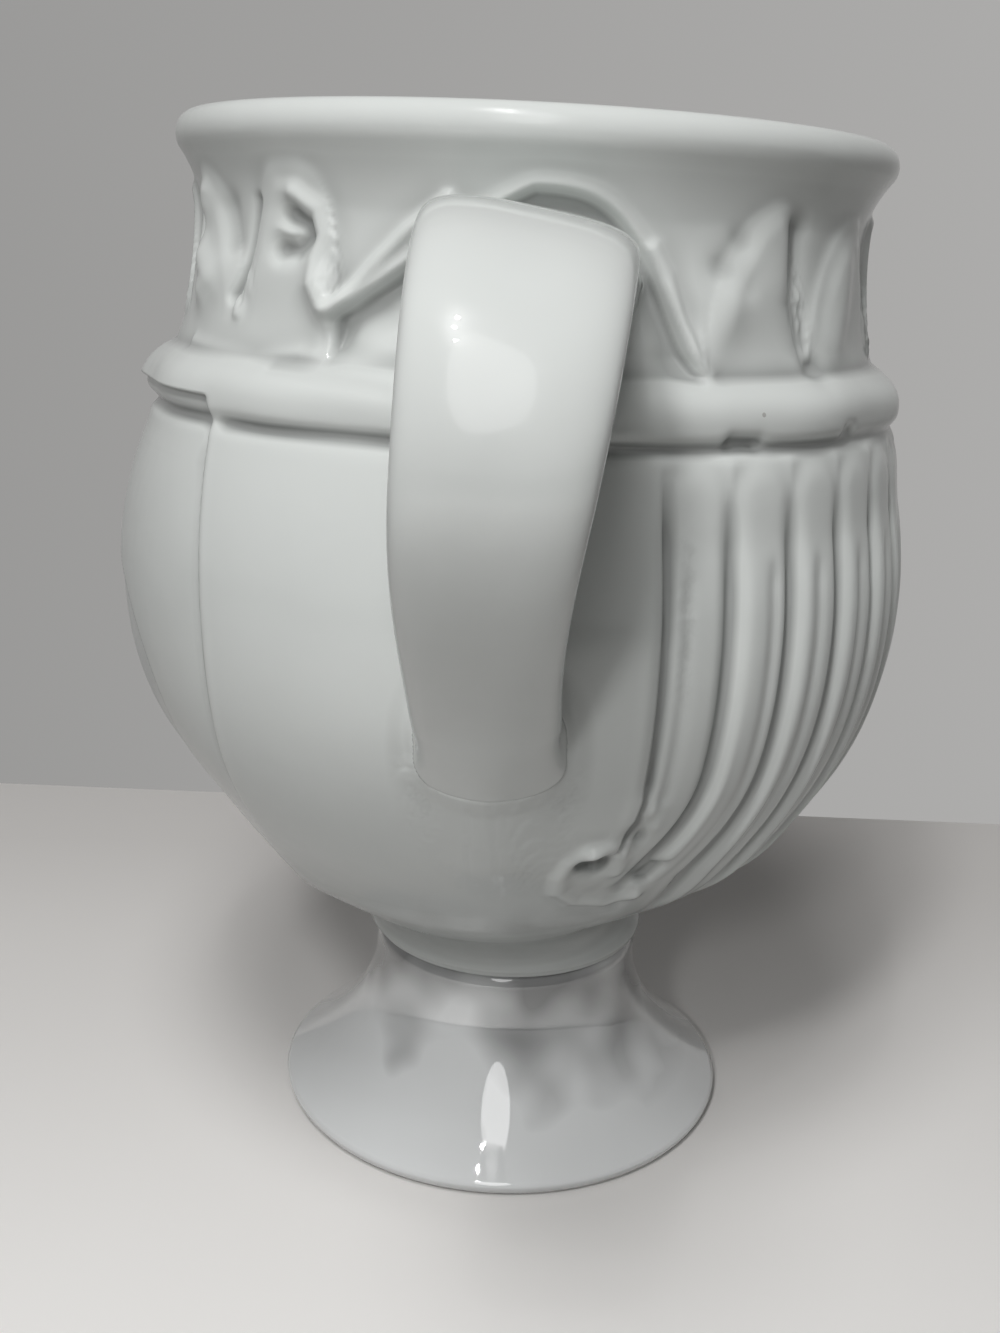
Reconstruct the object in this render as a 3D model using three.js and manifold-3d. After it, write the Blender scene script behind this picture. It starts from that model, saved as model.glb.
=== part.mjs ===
// A white glazed earthenware mug: a pressed bowl on a pedestal foot, with a strap handle.
// Millimetres, +Z up. The handle points to -Y. The bowl is drawn round its own axis, and at the end
// the whole mug is moved so that the origin is on the table under the middle of its outline.
// The pieces are the ones that a potter makes apart and then lutes together with wet slip:
// bowl, foot and handle, with a thin bed of slip between each pair of scored faces.
import * as THREE from 'three';
import { mergeVertices } from 'three/addons/utils/BufferGeometryUtils.js';
import Module from 'manifold-3d';

const wasm = await Module();
wasm.setup();

// Heights, stacked from the table up
const FOOT_HEIGHT = 22.3;
const COLLAR_HEIGHT = 4.7; // the short neck under the bowl
const BOWL_LOWER = 46.4; // collar to the widest place of the bowl
const BOWL_UPPER = 22.9; // widest place to the seam of bowl and neck, which the belt hides
const NECK_HEIGHT = 18.7; // seam to the narrowest place of the neck
const LIP_HEIGHT = 11; // narrowest place to the highest point of the rim

// Radii of the turned form
const REST_RADIUS = 28.9; // outer edge of the ring that touches the table
const REST_WIDTH = 3.2;
const FOOT_RADIUS = 30.6; // widest place of the foot, just above the table
const FOOT_TOP_RADIUS = 18;
const COLLAR_RADIUS = 18.5;
const BELLY_RADIUS = 50.4;
const SEAM_RADIUS = 44.2; // the bowl's own surface behind the belt
const NECK_RADIUS = 39.5;
const LIP_RADIUS = 42.4;
const BOWL_WARP = 1.1; // the bowl dried a little out of round, fuller towards -X
const RIM_TILT = 0.6; // and its rim is lower towards +X

// Curves of the turned form
const FOOT_FLARE = 2.25; // 1 is a plain cone, more is a hollower curve
const FOOT_EDGE = 1.8; // height of the foot's rounded edge
const BELLY_CURVE = 2.2;
const BELLY_FULLNESS = 0.9; // under 1 is fuller just above the collar
const LIP_ROUND = 2.4; // height of the rounded lip over its widest place
const LIP_TURN = 36; // degrees that the lip's round runs on below there, into the neck's flare
const COLLAR_EDGE = 0.9;

// Walls
const WALL = 4.4;
const LIP_WALL = 4;
const BOWL_FLOOR = 8.2; // clay between the inside of the bowl and the face that is luted to the foot
const BOWL_FLOOR_ROUND = 7;
const FOOT_HOLLOW = 15.5; // height of the hollow under the foot
const FOOT_HOLLOW_CURVE = 0.62;

// Joints: two scored faces with a bed of slip between them
const SLIP = 1;
const GAP = 0.3;
const SLIP_SPREAD = 0.5; // how far the slip is squeezed out past the strap

// Belt under the neck
const BELT_RADIUS = 45.7;
const BELT_ABOVE = 5; // from its fullest line the belt slopes off upwards and rolls under below
const BELT_BELOW = 1.6;
const BELT_DROP = 0.6; // the fullest line below the seam
const BELT_SQUARENESS = 2.3; // 2 is a round roll, more is a flatter face with tighter edges
const BELT_SLOPE = 1.15; // over 1 eases the belt into the neck
const BELT_TUCK = 0.6; // under 1 tucks it in sharply below
const BELT_CREASE = 0.5;
const BELT_CREASE_WIDTH = 0.9;
const BELT_WAVE = 0.2; // the belt was rolled by hand, so it is a little uneven
const BELT_WAVES = [[5, 3.1], [9, 2.6], [14, 3.4]]; // how many of them go round, and where each begins

// Leaf tips on the neck
const LEAF_PROUD = 0.5;
const LEAF_HOLLOW = 0.8; // the centre leaf is hollowed instead
const LEAF_ROLL = 0.8; // the leaf's rolled edge
const LEAF_EDGE = 1.5; // width of the roll
const LEAF_ROLL_IN = 0.7; // how far inside the outline the roll is highest, as a share of its width
const LEAF_FOOT = 2.5; // height over which the leaves grow out of the belt
const LEAF_FOOT_BELOW = 1; // the part of that height that lies below the belt's upper edge
const NOTCH_CLEAR = 0.6; // least height of a notch over the belt
const LEAF_TOP_DROP = 8.2; // rim down to the leaf tips
const LEAF_TIP_HEIGHT = 13.6; // leaf tips down to the notches between them
const LEAF_TOP_SWING = 1.5; // the row of leaves wanders up and down round the neck
const LEAF_NOTCH_SWING = 2.2;
const CENTRE_LEAF_HALF = 26; // degrees; the leaf behind the handle is the widest
const CENTRE_LEAF_POINT = 1.5; // more is a fuller arch
const SIDE_LEAF_COUNT = 13;
const SIDE_LEAF_POINT = 2.4;
const SIDE_LEAF_BLUNT = 0.6; // under 1 blunts the tip
const SIDE_LEAF_LEAN = 0.44; // share of a side leaf that lies before its tip
const LEAF_DENT = 1.1;
const LEAF_DENT_RADIUS = 1.9;
const LEAF_DENT_DROP = 6.4; // below the leaf's tip
const LEAF_DENT_SHIFT = 2.4; // degrees towards the handle
const LEAF_DENT_STRETCH = 0.75; // under 1 makes it taller than wide

// Panels and ribs on the bowl
const PANEL_STEP_AT = -41; // degrees; left edge of the broad panel that carries the handle
const PANEL_STEP = 1;
const PANEL_STEP_BOW = 0.0085; // the edge bows away by this much per square millimetre of height
const PANEL_STEP_DROP = 5; // from a place this far below the belly, where it comes nearest the handle
const PANEL_STEP_WIDTH = 1.2;
const PANEL_GROOVE = 0.35;
const PANEL_GROOVE_WIDTH = 0.8;
const RIB_START = 17; // degrees
const RIB_PITCH = 9.8;
const RIB_COUNT = 27;
const RIB_FIELD = 1.4; // the ribbed field lies this much lower than the panels
const FIELD_EDGE = 3.4; // width over which the field drops off from the panel
const FIELD_LEAD = 2; // and how far before the first rib that begins
const RIB_GROOVE = 1.5;
const RIB_GROOVE_WIDTH = 1.5;
const RIB_LINE = 0.4; // the fine line along the middle of each rib
const RIB_LINE_WIDTH = 1;
const RIB_TOP_GAP = 3.6; // seam down to the arched tops of the ribs
const RIB_ARCH = 4; // height of those arches
const RIB_TOP_FADE = 2.5; // from this far below those tops the field comes up level with the belt's foot
const RIB_FADE = 10; // and above the collar it comes up level over this height
const RIB_FOOT = 5; // the ribs themselves run out from this far above the collar
const RIB_FOOT_FADE = 11; // over this height
const RIB_SWEEP = 8.5; // degrees that the end ribs lean out of the field at their feet
const RIB_SWEEP_AT = 7; // degrees in from the field's end where the lean is greatest
const RIB_SWEEP_REACH = 13.5; // and over which it dies out on either side
const RIB_SWEEP_DROP = 13; // belly down to where the ribs begin to lean
const RIB_SWEEP_HEIGHT = 16; // and down from there to their full lean
const FIELD_CORNER_DROP = 20; // how far below the belt the ribbed field's far edge turns in
const FIELD_CORNER_WIDTH = 23; // degrees
const FIELD_CORNER_EDGE = 2; // width of the drop along that edge

// Places that are uneven by hand: azimuth, height over the collar and how much is trimmed off there,
// with a minus where the bowl is fuller, then the degrees and the height over which each dies out
const TRIMMED = [
  [75, 3.2, 6, 50, 4],
  [75, 13, -0.9, 50, 5],
  [-80, 9.5, -1.5, 35, 3],
  [-80, 21, 1.6, 35, 7],
  [-80, 68.7, -0.8, 30, 2.6],
];

// Scroll at the foot of the first rib
const SCROLL_AT = 12; // degrees
const SCROLL_RISE = 22.2; // above the collar
const SCROLL_RADIUS = 3;
const SCROLL_ROLL = 0.8;
const SCROLL_ROLL_WIDTH = 1.3;
const SCROLL_PIT = 1.5;
const SCROLL_PIT_WIDTH = 1.4;

// Strap handle
const STRAP_REACH = 28.8; // the strap's middle line, out from the belt's seat
const STRAP_TOP_DROP = 15.2; // rim down to the middle of the upper root
const STRAP_RISE = 6; // how far the arch climbs over the root
const STRAP_ELBOW_DROP = 31.2; // rim down to where the strap reaches out furthest
const STRAP_LOW_DROP = 61.4; // rim down to the middle of the lower root
const STRAP_WIDTH_TOP = 19.6;
const STRAP_WIDTH_LOW = 14.2;
const STRAP_THICKNESS = 6;
const STRAP_PULL = 0.62; // how far in the arch's first control point lies, as a share of the reach
const STRAP_DRIFT = -3.3; // the strap leans sideways towards its lower end
const STRAP_TWIST = -9.5; // degrees, at the top, dying out half way down
const STRAP_ROUNDNESS = 3; // 2 is an ellipse, more is squarer
const UPPER_ROOT_FLARE = 1.4; // how much wider and thicker the strap's upper end grows
const LOWER_ROOT_FLARE = 3; // how much thicker its lower end grows
const LOWER_ROOT_TAPER = 2.6; // and how much narrower
const ROOT_FLARE_LENGTH = 0.13; // share of the strap's run that flares at each end
const ROOT_DEPTH = 3; // how far the raw strap runs into the wall before it is cut
const ROOT_SAG = 1; // how much lower the upper root lies than the face it is luted to
// How the two curves of the strap's middle line are drawn, each number a share of the drift, the rise,
// the fall to the lower root or the reach
const ARCH_DRIFTS = [0.1, 0.2];
const ARCH_END_RISE = 0.2;
const ELBOW_DRIFT = 0.7;
const LOW_DRIFT = 0.6;
const FALL_START = 0.3;
const FALL_END = 0.4;
const FALL_PULL = 0.45;
const NARROWING = [0.1, 0.8]; // shares of the strap's run between which it narrows
const UNTWISTING = [0.1, 0.6]; // and between which the twist dies out

// Mesh steps
const RIB_COLUMNS = [0, 0.32, 0.68]; // shares of a rib's width
const PANEL_COLUMNS = 29;
const FOOT_SEGMENTS = 52;
const STRAP_STEPS = 26;
const STRAP_SIDES = 16;
const LIP_STEPS = 6;
// Rows up the collar, over the ribs' feet, to the belly, to the ribs' arches and to the belt
const LOWER_ROWS = [2, 3, 8, 3, 4];
const BELT_ROWS_BELOW = [-1, -0.92, -0.68]; // shares of the belt's height below its fullest line
const BELT_ROWS_ABOVE = [-0.12, 0.25, 0.5, 0.75]; // and of its height above
// Rows over the neck follow the leaves' outline. Each counts up to 1 at the foot of the roll along the
// outline, to 2 just over the outline, and to 3 at the lip.
const LEAF_ROWS = [0.4, 0.75, 1, 1.4, 1.75, 2, 2.25, 2.6, 3];
const LEAF_ROW_OVER = 0.3;
const INNER_ROW = 0.45; // share of the lower bowl's height at which the inside has one more row
const FLOOR_ROW_RISE = 0.35; // share of the rounded floor's height, for the same
const FLOOR_ROW_REACH = 0.4; // share of its radius out to which the floor is flat
const HOLLOW_ROWS = [0.97, 0.86, 0.66, 0.42, 0.18]; // shares of the height of the hollow under the foot
const FOOT_ROWS = 7;

// Heights that follow from the stack
const BOWL_BOTTOM = FOOT_HEIGHT + SLIP + 2 * GAP;
const COLLAR_TOP = BOWL_BOTTOM + COLLAR_HEIGHT;
const BELLY_Z = COLLAR_TOP + BOWL_LOWER;
const SEAM_Z = BELLY_Z + BOWL_UPPER;
const BELT_FULL_Z = SEAM_Z - BELT_DROP;
const BELT_BOTTOM = BELT_FULL_Z - BELT_BELOW;
const BELT_TOP = BELT_FULL_Z + BELT_ABOVE;
const NECK_Z = SEAM_Z + NECK_HEIGHT;
const RIM_Z = NECK_Z + LIP_HEIGHT;
const LIP_Z = RIM_Z - LIP_ROUND;
const FLARE_Z = LIP_Z - LIP_ROUND * Math.sin((LIP_TURN * Math.PI) / 180);
const FLARE_RADIUS = LIP_RADIUS - (LIP_WALL / 2) * (1 - Math.cos((LIP_TURN * Math.PI) / 180));
const RIB_TOP_Z = SEAM_Z - RIB_TOP_GAP;

const radians = (angle) => THREE.MathUtils.degToRad(angle);
const clamp = THREE.MathUtils.clamp;
const smooth = (x, from, to) => THREE.MathUtils.smoothstep(x, from, to);
const bell = (x, width) => Math.exp(-((x / width) ** 2));
const wrap = (angle) => ((((angle + 180) % 360) + 360) % 360) - 180;

// The bowl's turned outline: its radius at a height, without any relief.
function turned(z) {
  if (z < COLLAR_TOP) {
    return COLLAR_RADIUS;
  }
  if (z < BELLY_Z) {
    const rest = (BELLY_Z - z) / BOWL_LOWER;
    return COLLAR_RADIUS + (BELLY_RADIUS - COLLAR_RADIUS) * (1 - rest ** BELLY_CURVE) ** BELLY_FULLNESS;
  }
  if (z < SEAM_Z) {
    return BELLY_RADIUS - (BELLY_RADIUS - SEAM_RADIUS) * ((z - BELLY_Z) / BOWL_UPPER) ** 2;
  }
  if (z < NECK_Z) {
    return NECK_RADIUS + (SEAM_RADIUS - NECK_RADIUS) * ((NECK_Z - z) / NECK_HEIGHT) ** 2;
  }
  return NECK_RADIUS + (FLARE_RADIUS - NECK_RADIUS) * Math.min(1, (z - NECK_Z) / (FLARE_Z - NECK_Z)) ** 2;
}

function turnedSlope(z) {
  const step = 0.05;
  return (turned(z + step) - turned(z - step)) / (2 * step);
}

// Leaf tips: where the leaf over an azimuth is centred, and how wide it is on either side.
function leafAt(azimuth) {
  const side = Math.sign(azimuth) || 1;
  const turn = Math.abs(azimuth);
  if (turn < CENTRE_LEAF_HALF) {
    return { middle: 0, half: CENTRE_LEAF_HALF, point: CENTRE_LEAF_POINT, blunt: 1 };
  }
  const pitch = (360 - 2 * CENTRE_LEAF_HALF) / SIDE_LEAF_COUNT;
  const index = Math.floor((turn - CENTRE_LEAF_HALF) / pitch);
  const middle = CENTRE_LEAF_HALF + (index + SIDE_LEAF_LEAN) * pitch;
  const half = turn < middle ? SIDE_LEAF_LEAN * pitch : (1 - SIDE_LEAF_LEAN) * pitch;
  return { middle: side * middle, half, point: SIDE_LEAF_POINT, blunt: SIDE_LEAF_BLUNT };
}

// Height of the leaves' outline at an azimuth.
function leafLine(azimuth) {
  const leaf = leafAt(azimuth);
  const swing = Math.sin(radians(2 * azimuth));
  const top = RIM_Z - LEAF_TOP_DROP - LEAF_TOP_SWING * swing;
  const notch = RIM_Z - LEAF_TOP_DROP - LEAF_TIP_HEIGHT - LEAF_NOTCH_SWING * swing;
  const u = Math.min(1, Math.abs(azimuth - leaf.middle) / leaf.half);
  return Math.max(BELT_TOP + NOTCH_CLEAR, notch + (top - notch) * (1 - u ** leaf.point) ** leaf.blunt);
}

function leafRelief(azimuth, z, radius) {
  const step = 0.8; // degrees, to measure how steep the outline is
  const rise = leafLine(wrap(azimuth + step)) - leafLine(wrap(azimuth - step));
  const slope = rise / (2 * radians(step) * radius);
  const inside = (leafLine(azimuth) - z) / Math.hypot(1, slope);
  const leaf = leafAt(azimuth);
  const fade = smooth(z, BELT_TOP - LEAF_FOOT_BELOW, BELT_TOP - LEAF_FOOT_BELOW + LEAF_FOOT);
  const middle = leaf.middle === 0 ? -LEAF_HOLLOW : LEAF_PROUD;
  let height = middle * smooth(inside, 0, 2 * LEAF_EDGE);
  height += LEAF_ROLL * bell(inside - LEAF_ROLL_IN * LEAF_EDGE, LEAF_EDGE);
  if (leaf.middle !== 0) {
    const dentAt = leaf.middle - Math.sign(leaf.middle) * LEAF_DENT_SHIFT;
    const across = radians(azimuth - dentAt) * radius;
    const below = z - (leafLine(leaf.middle) - LEAF_DENT_DROP);
    height -= LEAF_DENT * bell(Math.hypot(across, below * LEAF_DENT_STRETCH), LEAF_DENT_RADIUS);
  }
  return height * fade;
}

function beltRelief(azimuth, z) {
  const turn = radians(azimuth);
  const wave = BELT_WAVES.reduce((sum, [count, begin]) => sum + Math.sin(count * turn + begin), 0);
  const above = z > BELT_FULL_Z;
  const rise = Math.min(1, Math.abs(z - BELT_FULL_Z) / (above ? BELT_ABOVE : BELT_BELOW));
  const round = (1 - rise ** BELT_SQUARENESS) ** (above ? BELT_SLOPE : BELT_TUCK);
  const crease = BELT_CREASE * bell(z - BELT_BOTTOM, BELT_CREASE_WIDTH);
  return (BELT_RADIUS - turned(z) + BELT_WAVE * wave) * round - crease;
}

// A column of the mesh starts at an azimuth at the belt and leans with the ribs further down.
// The ribs near either end of the field lean out of it, towards the handle's panel.
function leaned(start, z) {
  const half = (RIB_PITCH * RIB_COUNT) / 2;
  const fromMiddle = wrap(start - RIB_START - half);
  const lean = bell(half - Math.abs(fromMiddle) - RIB_SWEEP_AT, RIB_SWEEP_REACH);
  const depth = clamp((BELLY_Z - RIB_SWEEP_DROP - z) / RIB_SWEEP_HEIGHT, 0, 1);
  return start + Math.sign(fromMiddle) * RIB_SWEEP * lean * depth ** 2;
}

// The ribs, from the azimuth at which their column starts.
function ribRelief(start, z, radius) {
  const along = (start - RIB_START) / RIB_PITCH;
  if (along < 0 || along > RIB_COUNT || z > SEAM_Z) {
    return 0;
  }
  const width = radians(RIB_PITCH) * radius;
  const fromMiddle = (along - Math.floor(along) - 0.5) * width;
  const overTop = Math.max(0, z - (RIB_TOP_Z - 0.5 * width));
  const inside = 0.5 * width - Math.hypot(fromMiddle, overTop);
  const foot = smooth(z, COLLAR_TOP + RIB_FOOT, COLLAR_TOP + RIB_FOOT + RIB_FOOT_FADE);
  const fade = foot * (1 - smooth(z, RIB_TOP_Z, BELT_BOTTOM));
  const groove = bell(inside, RIB_GROOVE_WIDTH);
  const lineTop = RIB_TOP_Z - width;
  const line = RIB_LINE * bell(fromMiddle, RIB_LINE_WIDTH) * (1 - smooth(z, lineTop - RIB_ARCH, lineTop));
  return -fade * (RIB_GROOVE * groove + line);
}

// The two plain panels on the handle's side and the lower field that holds the ribs. The field's first
// edge leans with its column, so it goes by the azimuth at which the column starts.
function panelRelief(start, azimuth, z, radius) {
  if (z > SEAM_Z || z < COLLAR_TOP) {
    return 0;
  }
  const fade = smooth(z, COLLAR_TOP, COLLAR_TOP + RIB_FADE);
  const edgeAt = PANEL_STEP_AT - PANEL_STEP_BOW * (z - BELLY_Z + PANEL_STEP_DROP) ** 2;
  const fromEdge = radians(azimuth - edgeAt) * radius;
  const farEdge = RIB_START + RIB_PITCH * RIB_COUNT - 360;
  const turnIn = clamp((SEAM_Z - FIELD_CORNER_DROP - z) / FIELD_CORNER_DROP, 0, 1);
  const cornerAt = farEdge + FIELD_CORNER_WIDTH * Math.sqrt(1 - (1 - turnIn) ** 2);
  const fromCorner = radians(cornerAt - azimuth) * radius;
  const fromStart = radians(wrap(start) - RIB_START) * radius + FIELD_LEAD;
  const top = 1 - smooth(z, RIB_TOP_Z - RIB_TOP_FADE, BELT_BOTTOM);
  const corner = smooth(fromCorner, -FIELD_CORNER_EDGE / 2, FIELD_CORNER_EDGE / 2);
  const field = top * Math.max(smooth(fromStart, 0, FIELD_EDGE), corner);
  const beyond = 1 - smooth(fromEdge, -PANEL_STEP_WIDTH / 2, PANEL_STEP_WIDTH / 2);
  const step = azimuth < 0 ? PANEL_STEP * beyond : 0;
  const groove = PANEL_GROOVE * bell(fromEdge, PANEL_GROOVE_WIDTH);
  return -fade * (Math.max(RIB_FIELD * field, step) + groove);
}

function trimRelief(azimuth, z) {
  return TRIMMED.reduce(
    (sum, [at, rise, depth, turn, height]) => {
      const near = bell(wrap(azimuth - at), turn) * bell(z - COLLAR_TOP - rise, height);
      return sum - depth * near;
    },
    0,
  );
}

function scrollRelief(azimuth, z, radius) {
  const across = radians(azimuth - SCROLL_AT) * radius;
  const up = (z - COLLAR_TOP - SCROLL_RISE) * Math.hypot(1, turnedSlope(z));
  const out = Math.hypot(across, up);
  const roll = SCROLL_ROLL * bell(out - SCROLL_RADIUS, SCROLL_ROLL_WIDTH);
  return roll - SCROLL_PIT * bell(out, SCROLL_PIT_WIDTH);
}

// The bowl's outer surface, as a radius over a column and a height.
function bowlRadius(start, z) {
  const azimuth = wrap(leaned(start, z));
  const radius = turned(z);
  const share = clamp((z - COLLAR_TOP) / (FLARE_Z - COLLAR_TOP), 0, 1);
  let relief = trimRelief(azimuth, z) - BOWL_WARP * Math.sin(radians(azimuth)) * Math.sin(Math.PI * share);
  if (Math.abs(z - BELT_FULL_Z) < 2 * BELT_ABOVE) {
    relief += beltRelief(azimuth, z);
  }
  if (z > BELT_FULL_Z && z < FLARE_Z) {
    relief += leafRelief(azimuth, z, radius);
  }
  if (z > COLLAR_TOP && z < SEAM_Z) {
    relief += panelRelief(start, azimuth, z, radius) + ribRelief(start, z, radius);
    relief += scrollRelief(azimuth, z, radius);
  }
  return radius + relief;
}

// Azimuths of the mesh columns: a few to a rib, and even ones over the panels.
function columnStarts() {
  const starts = [];
  for (let i = 0; i < RIB_COUNT; i += 1) {
    RIB_COLUMNS.forEach((share) => starts.push(RIB_START + (i + share) * RIB_PITCH));
  }
  const end = RIB_START + RIB_PITCH * RIB_COUNT;
  for (let i = 0; i < PANEL_COLUMNS; i += 1) {
    starts.push(end + ((RIB_START + 360 - end) * i) / PANEL_COLUMNS);
  }
  return starts;
}

const evenly = (from, to, steps) => Array.from({ length: steps }, (_, i) => from + ((to - from) * i) / steps);

// Heights of the mesh rows up the outside as far as the belt's upper edge.
function lowerRows() {
  const marks = [BOWL_BOTTOM + COLLAR_EDGE, COLLAR_TOP, COLLAR_TOP + RIB_FADE, BELLY_Z];
  marks.push(RIB_TOP_Z - RIB_ARCH, BELT_BOTTOM);
  return [
    ...LOWER_ROWS.flatMap((count, i) => evenly(marks[i], marks[i + 1], count)),
    ...BELT_ROWS_BELOW.map((share) => BELT_FULL_Z + share * BELT_BELOW),
    ...BELT_ROWS_ABOVE.map((share) => BELT_FULL_Z + share * BELT_ABOVE),
  ];
}

// Height of one of the rows over the neck.
function leafRow(azimuth, row) {
  const foot = BELT_TOP;
  const line = leafLine(azimuth);
  const roll = line - Math.min(2 * LEAF_EDGE, 0.5 * (line - foot));
  const stations = [foot, roll, line + LEAF_ROW_OVER, FLARE_Z];
  const step = Math.min(2, Math.floor(row));
  return THREE.MathUtils.lerp(stations[step], stations[step + 1], row - step);
}

// Inside of the bowl: the turned form less the wall, with a rounded floor.
function innerRadius(z) {
  const floor = BOWL_BOTTOM + BOWL_FLOOR;
  const wall = turned(z) - WALL * Math.hypot(1, turnedSlope(z));
  const rise = clamp((z - floor) / BOWL_FLOOR_ROUND, 0, 1);
  return wall * Math.sqrt(1 - (1 - rise) ** 2);
}

function bowlProfile() {
  const points = [new THREE.Vector2(0, BOWL_BOTTOM)];
  points.push(new THREE.Vector2(COLLAR_RADIUS - COLLAR_EDGE, BOWL_BOTTOM));
  lowerRows().forEach((z) => points.push(new THREE.Vector2(turned(z), z)));
  LEAF_ROWS.forEach((row) => points.push(new THREE.Vector2(NECK_RADIUS, leafRow(0, row))));
  const halfLip = LIP_WALL / 2;
  const begin = -radians(LIP_TURN);
  const lip = new THREE.EllipseCurve(LIP_RADIUS - halfLip, LIP_Z, halfLip, LIP_ROUND, begin, Math.PI);
  lip.getPoints(LIP_STEPS).slice(1).forEach((point) => points.push(point));
  const floor = BOWL_BOTTOM + BOWL_FLOOR;
  for (const z of [NECK_Z, SEAM_Z, BELLY_Z, BELLY_Z - INNER_ROW * BOWL_LOWER, floor + BOWL_FLOOR_ROUND]) {
    points.push(new THREE.Vector2(innerRadius(z), z));
  }
  const low = floor + FLOOR_ROW_RISE * BOWL_FLOOR_ROUND;
  points.push(new THREE.Vector2(innerRadius(low), low));
  points.push(new THREE.Vector2(FLOOR_ROW_REACH * innerRadius(floor + BOWL_FLOOR_ROUND), floor));
  points.push(new THREE.Vector2(0, floor));
  return points;
}

// Turns a profile of (radius, height) about Z. Column i of the lathe goes to the i-th start.
// Reshape says where the profile's point k goes in that column.
function lathe(profile, starts, reshape) {
  const geometry = new THREE.LatheGeometry(profile, starts.length);
  const position = geometry.getAttribute('position');
  for (let i = 0; i < position.count; i += 1) {
    const column = Math.floor(i / profile.length) % starts.length;
    const { azimuth, radius, z } = reshape(starts[column], i % profile.length);
    const turn = radians(azimuth);
    position.setXYZ(i, radius * Math.sin(turn), -radius * Math.cos(turn), z);
  }
  return geometry;
}

function turnedSolid(profile) {
  const starts = Array.from({ length: FOOT_SEGMENTS }, (_, i) => (360 * i) / FOOT_SEGMENTS);
  return lathe(profile, starts, (azimuth, k) => ({ azimuth, radius: profile[k].x, z: profile[k].y }));
}

// A point of the bowl's outside in one column: first the lower rows, then the ones over the neck.
function outsidePoint(start, index, grow) {
  const rows = lowerRows();
  const z = index < rows.length ? rows[index] : leafRow(wrap(start), LEAF_ROWS[index - rows.length]);
  return { azimuth: leaned(start, z), radius: bowlRadius(start, z) + grow, z };
}

// The rim is a little lower towards +X, and what lies above the neck goes with it.
function tilted(point) {
  const share = smooth(point.z, NECK_Z - 0.5 * LIP_HEIGHT, RIM_Z);
  return { ...point, z: point.z - RIM_TILT * (1 + Math.sin(radians(point.azimuth))) * share };
}

const OUTSIDE_ROWS = lowerRows().length + LEAF_ROWS.length;

function bowlGeometry() {
  const profile = bowlProfile();
  const first = 2;
  return lathe(profile, columnStarts(), (start, k) => {
    const outside = k >= first && k < first + OUTSIDE_ROWS;
    const { x, y } = profile[k];
    const plain = { azimuth: leaned(start, y), radius: x, z: y };
    return tilted(outside ? outsidePoint(start, k - first, 0) : plain);
  });
}

// The bowl's outside as a filled block, grown all over, to cut what is luted on to it.
function grownBowl(grow) {
  const profile = Array.from({ length: OUTSIDE_ROWS + 2 }, () => new THREE.Vector2(1, 0));
  return solid(
    lathe(profile, columnStarts(), (start, k) => {
      const point = tilted(outsidePoint(start, clamp(k - 1, 0, OUTSIDE_ROWS - 1), grow));
      const onAxis = k === 0 || k === OUTSIDE_ROWS + 1;
      return onAxis ? { azimuth: 0, radius: 0, z: k === 0 ? BOWL_BOTTOM : RIM_Z } : point;
    }),
  );
}

// Closed mesh to solid, and solid back to mesh.
function solid(geometry) {
  const bare = geometry.clone();
  bare.deleteAttribute('normal');
  bare.deleteAttribute('uv');
  const merged = mergeVertices(bare, 1e-4);
  const triangles = [];
  const index = merged.getIndex().array;
  for (let i = 0; i < index.length; i += 3) {
    const [a, b, c] = [index[i], index[i + 1], index[i + 2]];
    if (a !== b && b !== c && c !== a) {
      triangles.push(a, b, c);
    }
  }
  return new wasm.Manifold(
    new wasm.Mesh({
      numProp: 3,
      vertProperties: new Float32Array(merged.getAttribute('position').array),
      triVerts: new Uint32Array(triangles),
    }),
  );
}

function toGeometry(manifold) {
  const mesh = manifold.getMesh();
  const geometry = new THREE.BufferGeometry();
  geometry.setAttribute('position', new THREE.BufferAttribute(mesh.vertProperties, 3));
  geometry.setIndex(new THREE.BufferAttribute(mesh.triVerts, 1));
  geometry.computeVertexNormals();
  return geometry;
}

// Foot: a flared, hollow pedestal that rests on a narrow ring.
function footRadius(z) {
  const share = (z - FOOT_EDGE) / (FOOT_HEIGHT - FOOT_EDGE);
  return FOOT_TOP_RADIUS + (FOOT_RADIUS - FOOT_TOP_RADIUS) * (1 - share) ** FOOT_FLARE;
}

function footGeometry() {
  const inner = REST_RADIUS - REST_WIDTH;
  const points = [new THREE.Vector2(0, FOOT_HOLLOW)];
  for (const share of HOLLOW_ROWS) {
    points.push(new THREE.Vector2(inner * (1 - share) ** FOOT_HOLLOW_CURVE, FOOT_HOLLOW * share));
  }
  points.push(new THREE.Vector2(inner, 0), new THREE.Vector2(REST_RADIUS, 0));
  const overhang = FOOT_RADIUS - REST_RADIUS;
  const edge = new THREE.EllipseCurve(REST_RADIUS, FOOT_EDGE, overhang, FOOT_EDGE, -Math.PI / 2, 0);
  points.push(edge.getPoint(0.5));
  evenly(FOOT_EDGE, FOOT_HEIGHT, FOOT_ROWS).forEach((z) => points.push(new THREE.Vector2(footRadius(z), z)));
  points.push(new THREE.Vector2(FOOT_TOP_RADIUS, FOOT_HEIGHT), new THREE.Vector2(0, FOOT_HEIGHT));
  return turnedSolid(points);
}

function footSlipGeometry() {
  const bottom = FOOT_HEIGHT + GAP;
  const radius = FOOT_TOP_RADIUS + SLIP_SPREAD;
  const points = [
    new THREE.Vector2(0, bottom),
    new THREE.Vector2(radius - SLIP / 2, bottom),
    new THREE.Vector2(radius, bottom + SLIP / 2),
    new THREE.Vector2(radius - SLIP / 2, bottom + SLIP),
    new THREE.Vector2(0, bottom + SLIP),
  ];
  return turnedSolid(points);
}

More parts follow.
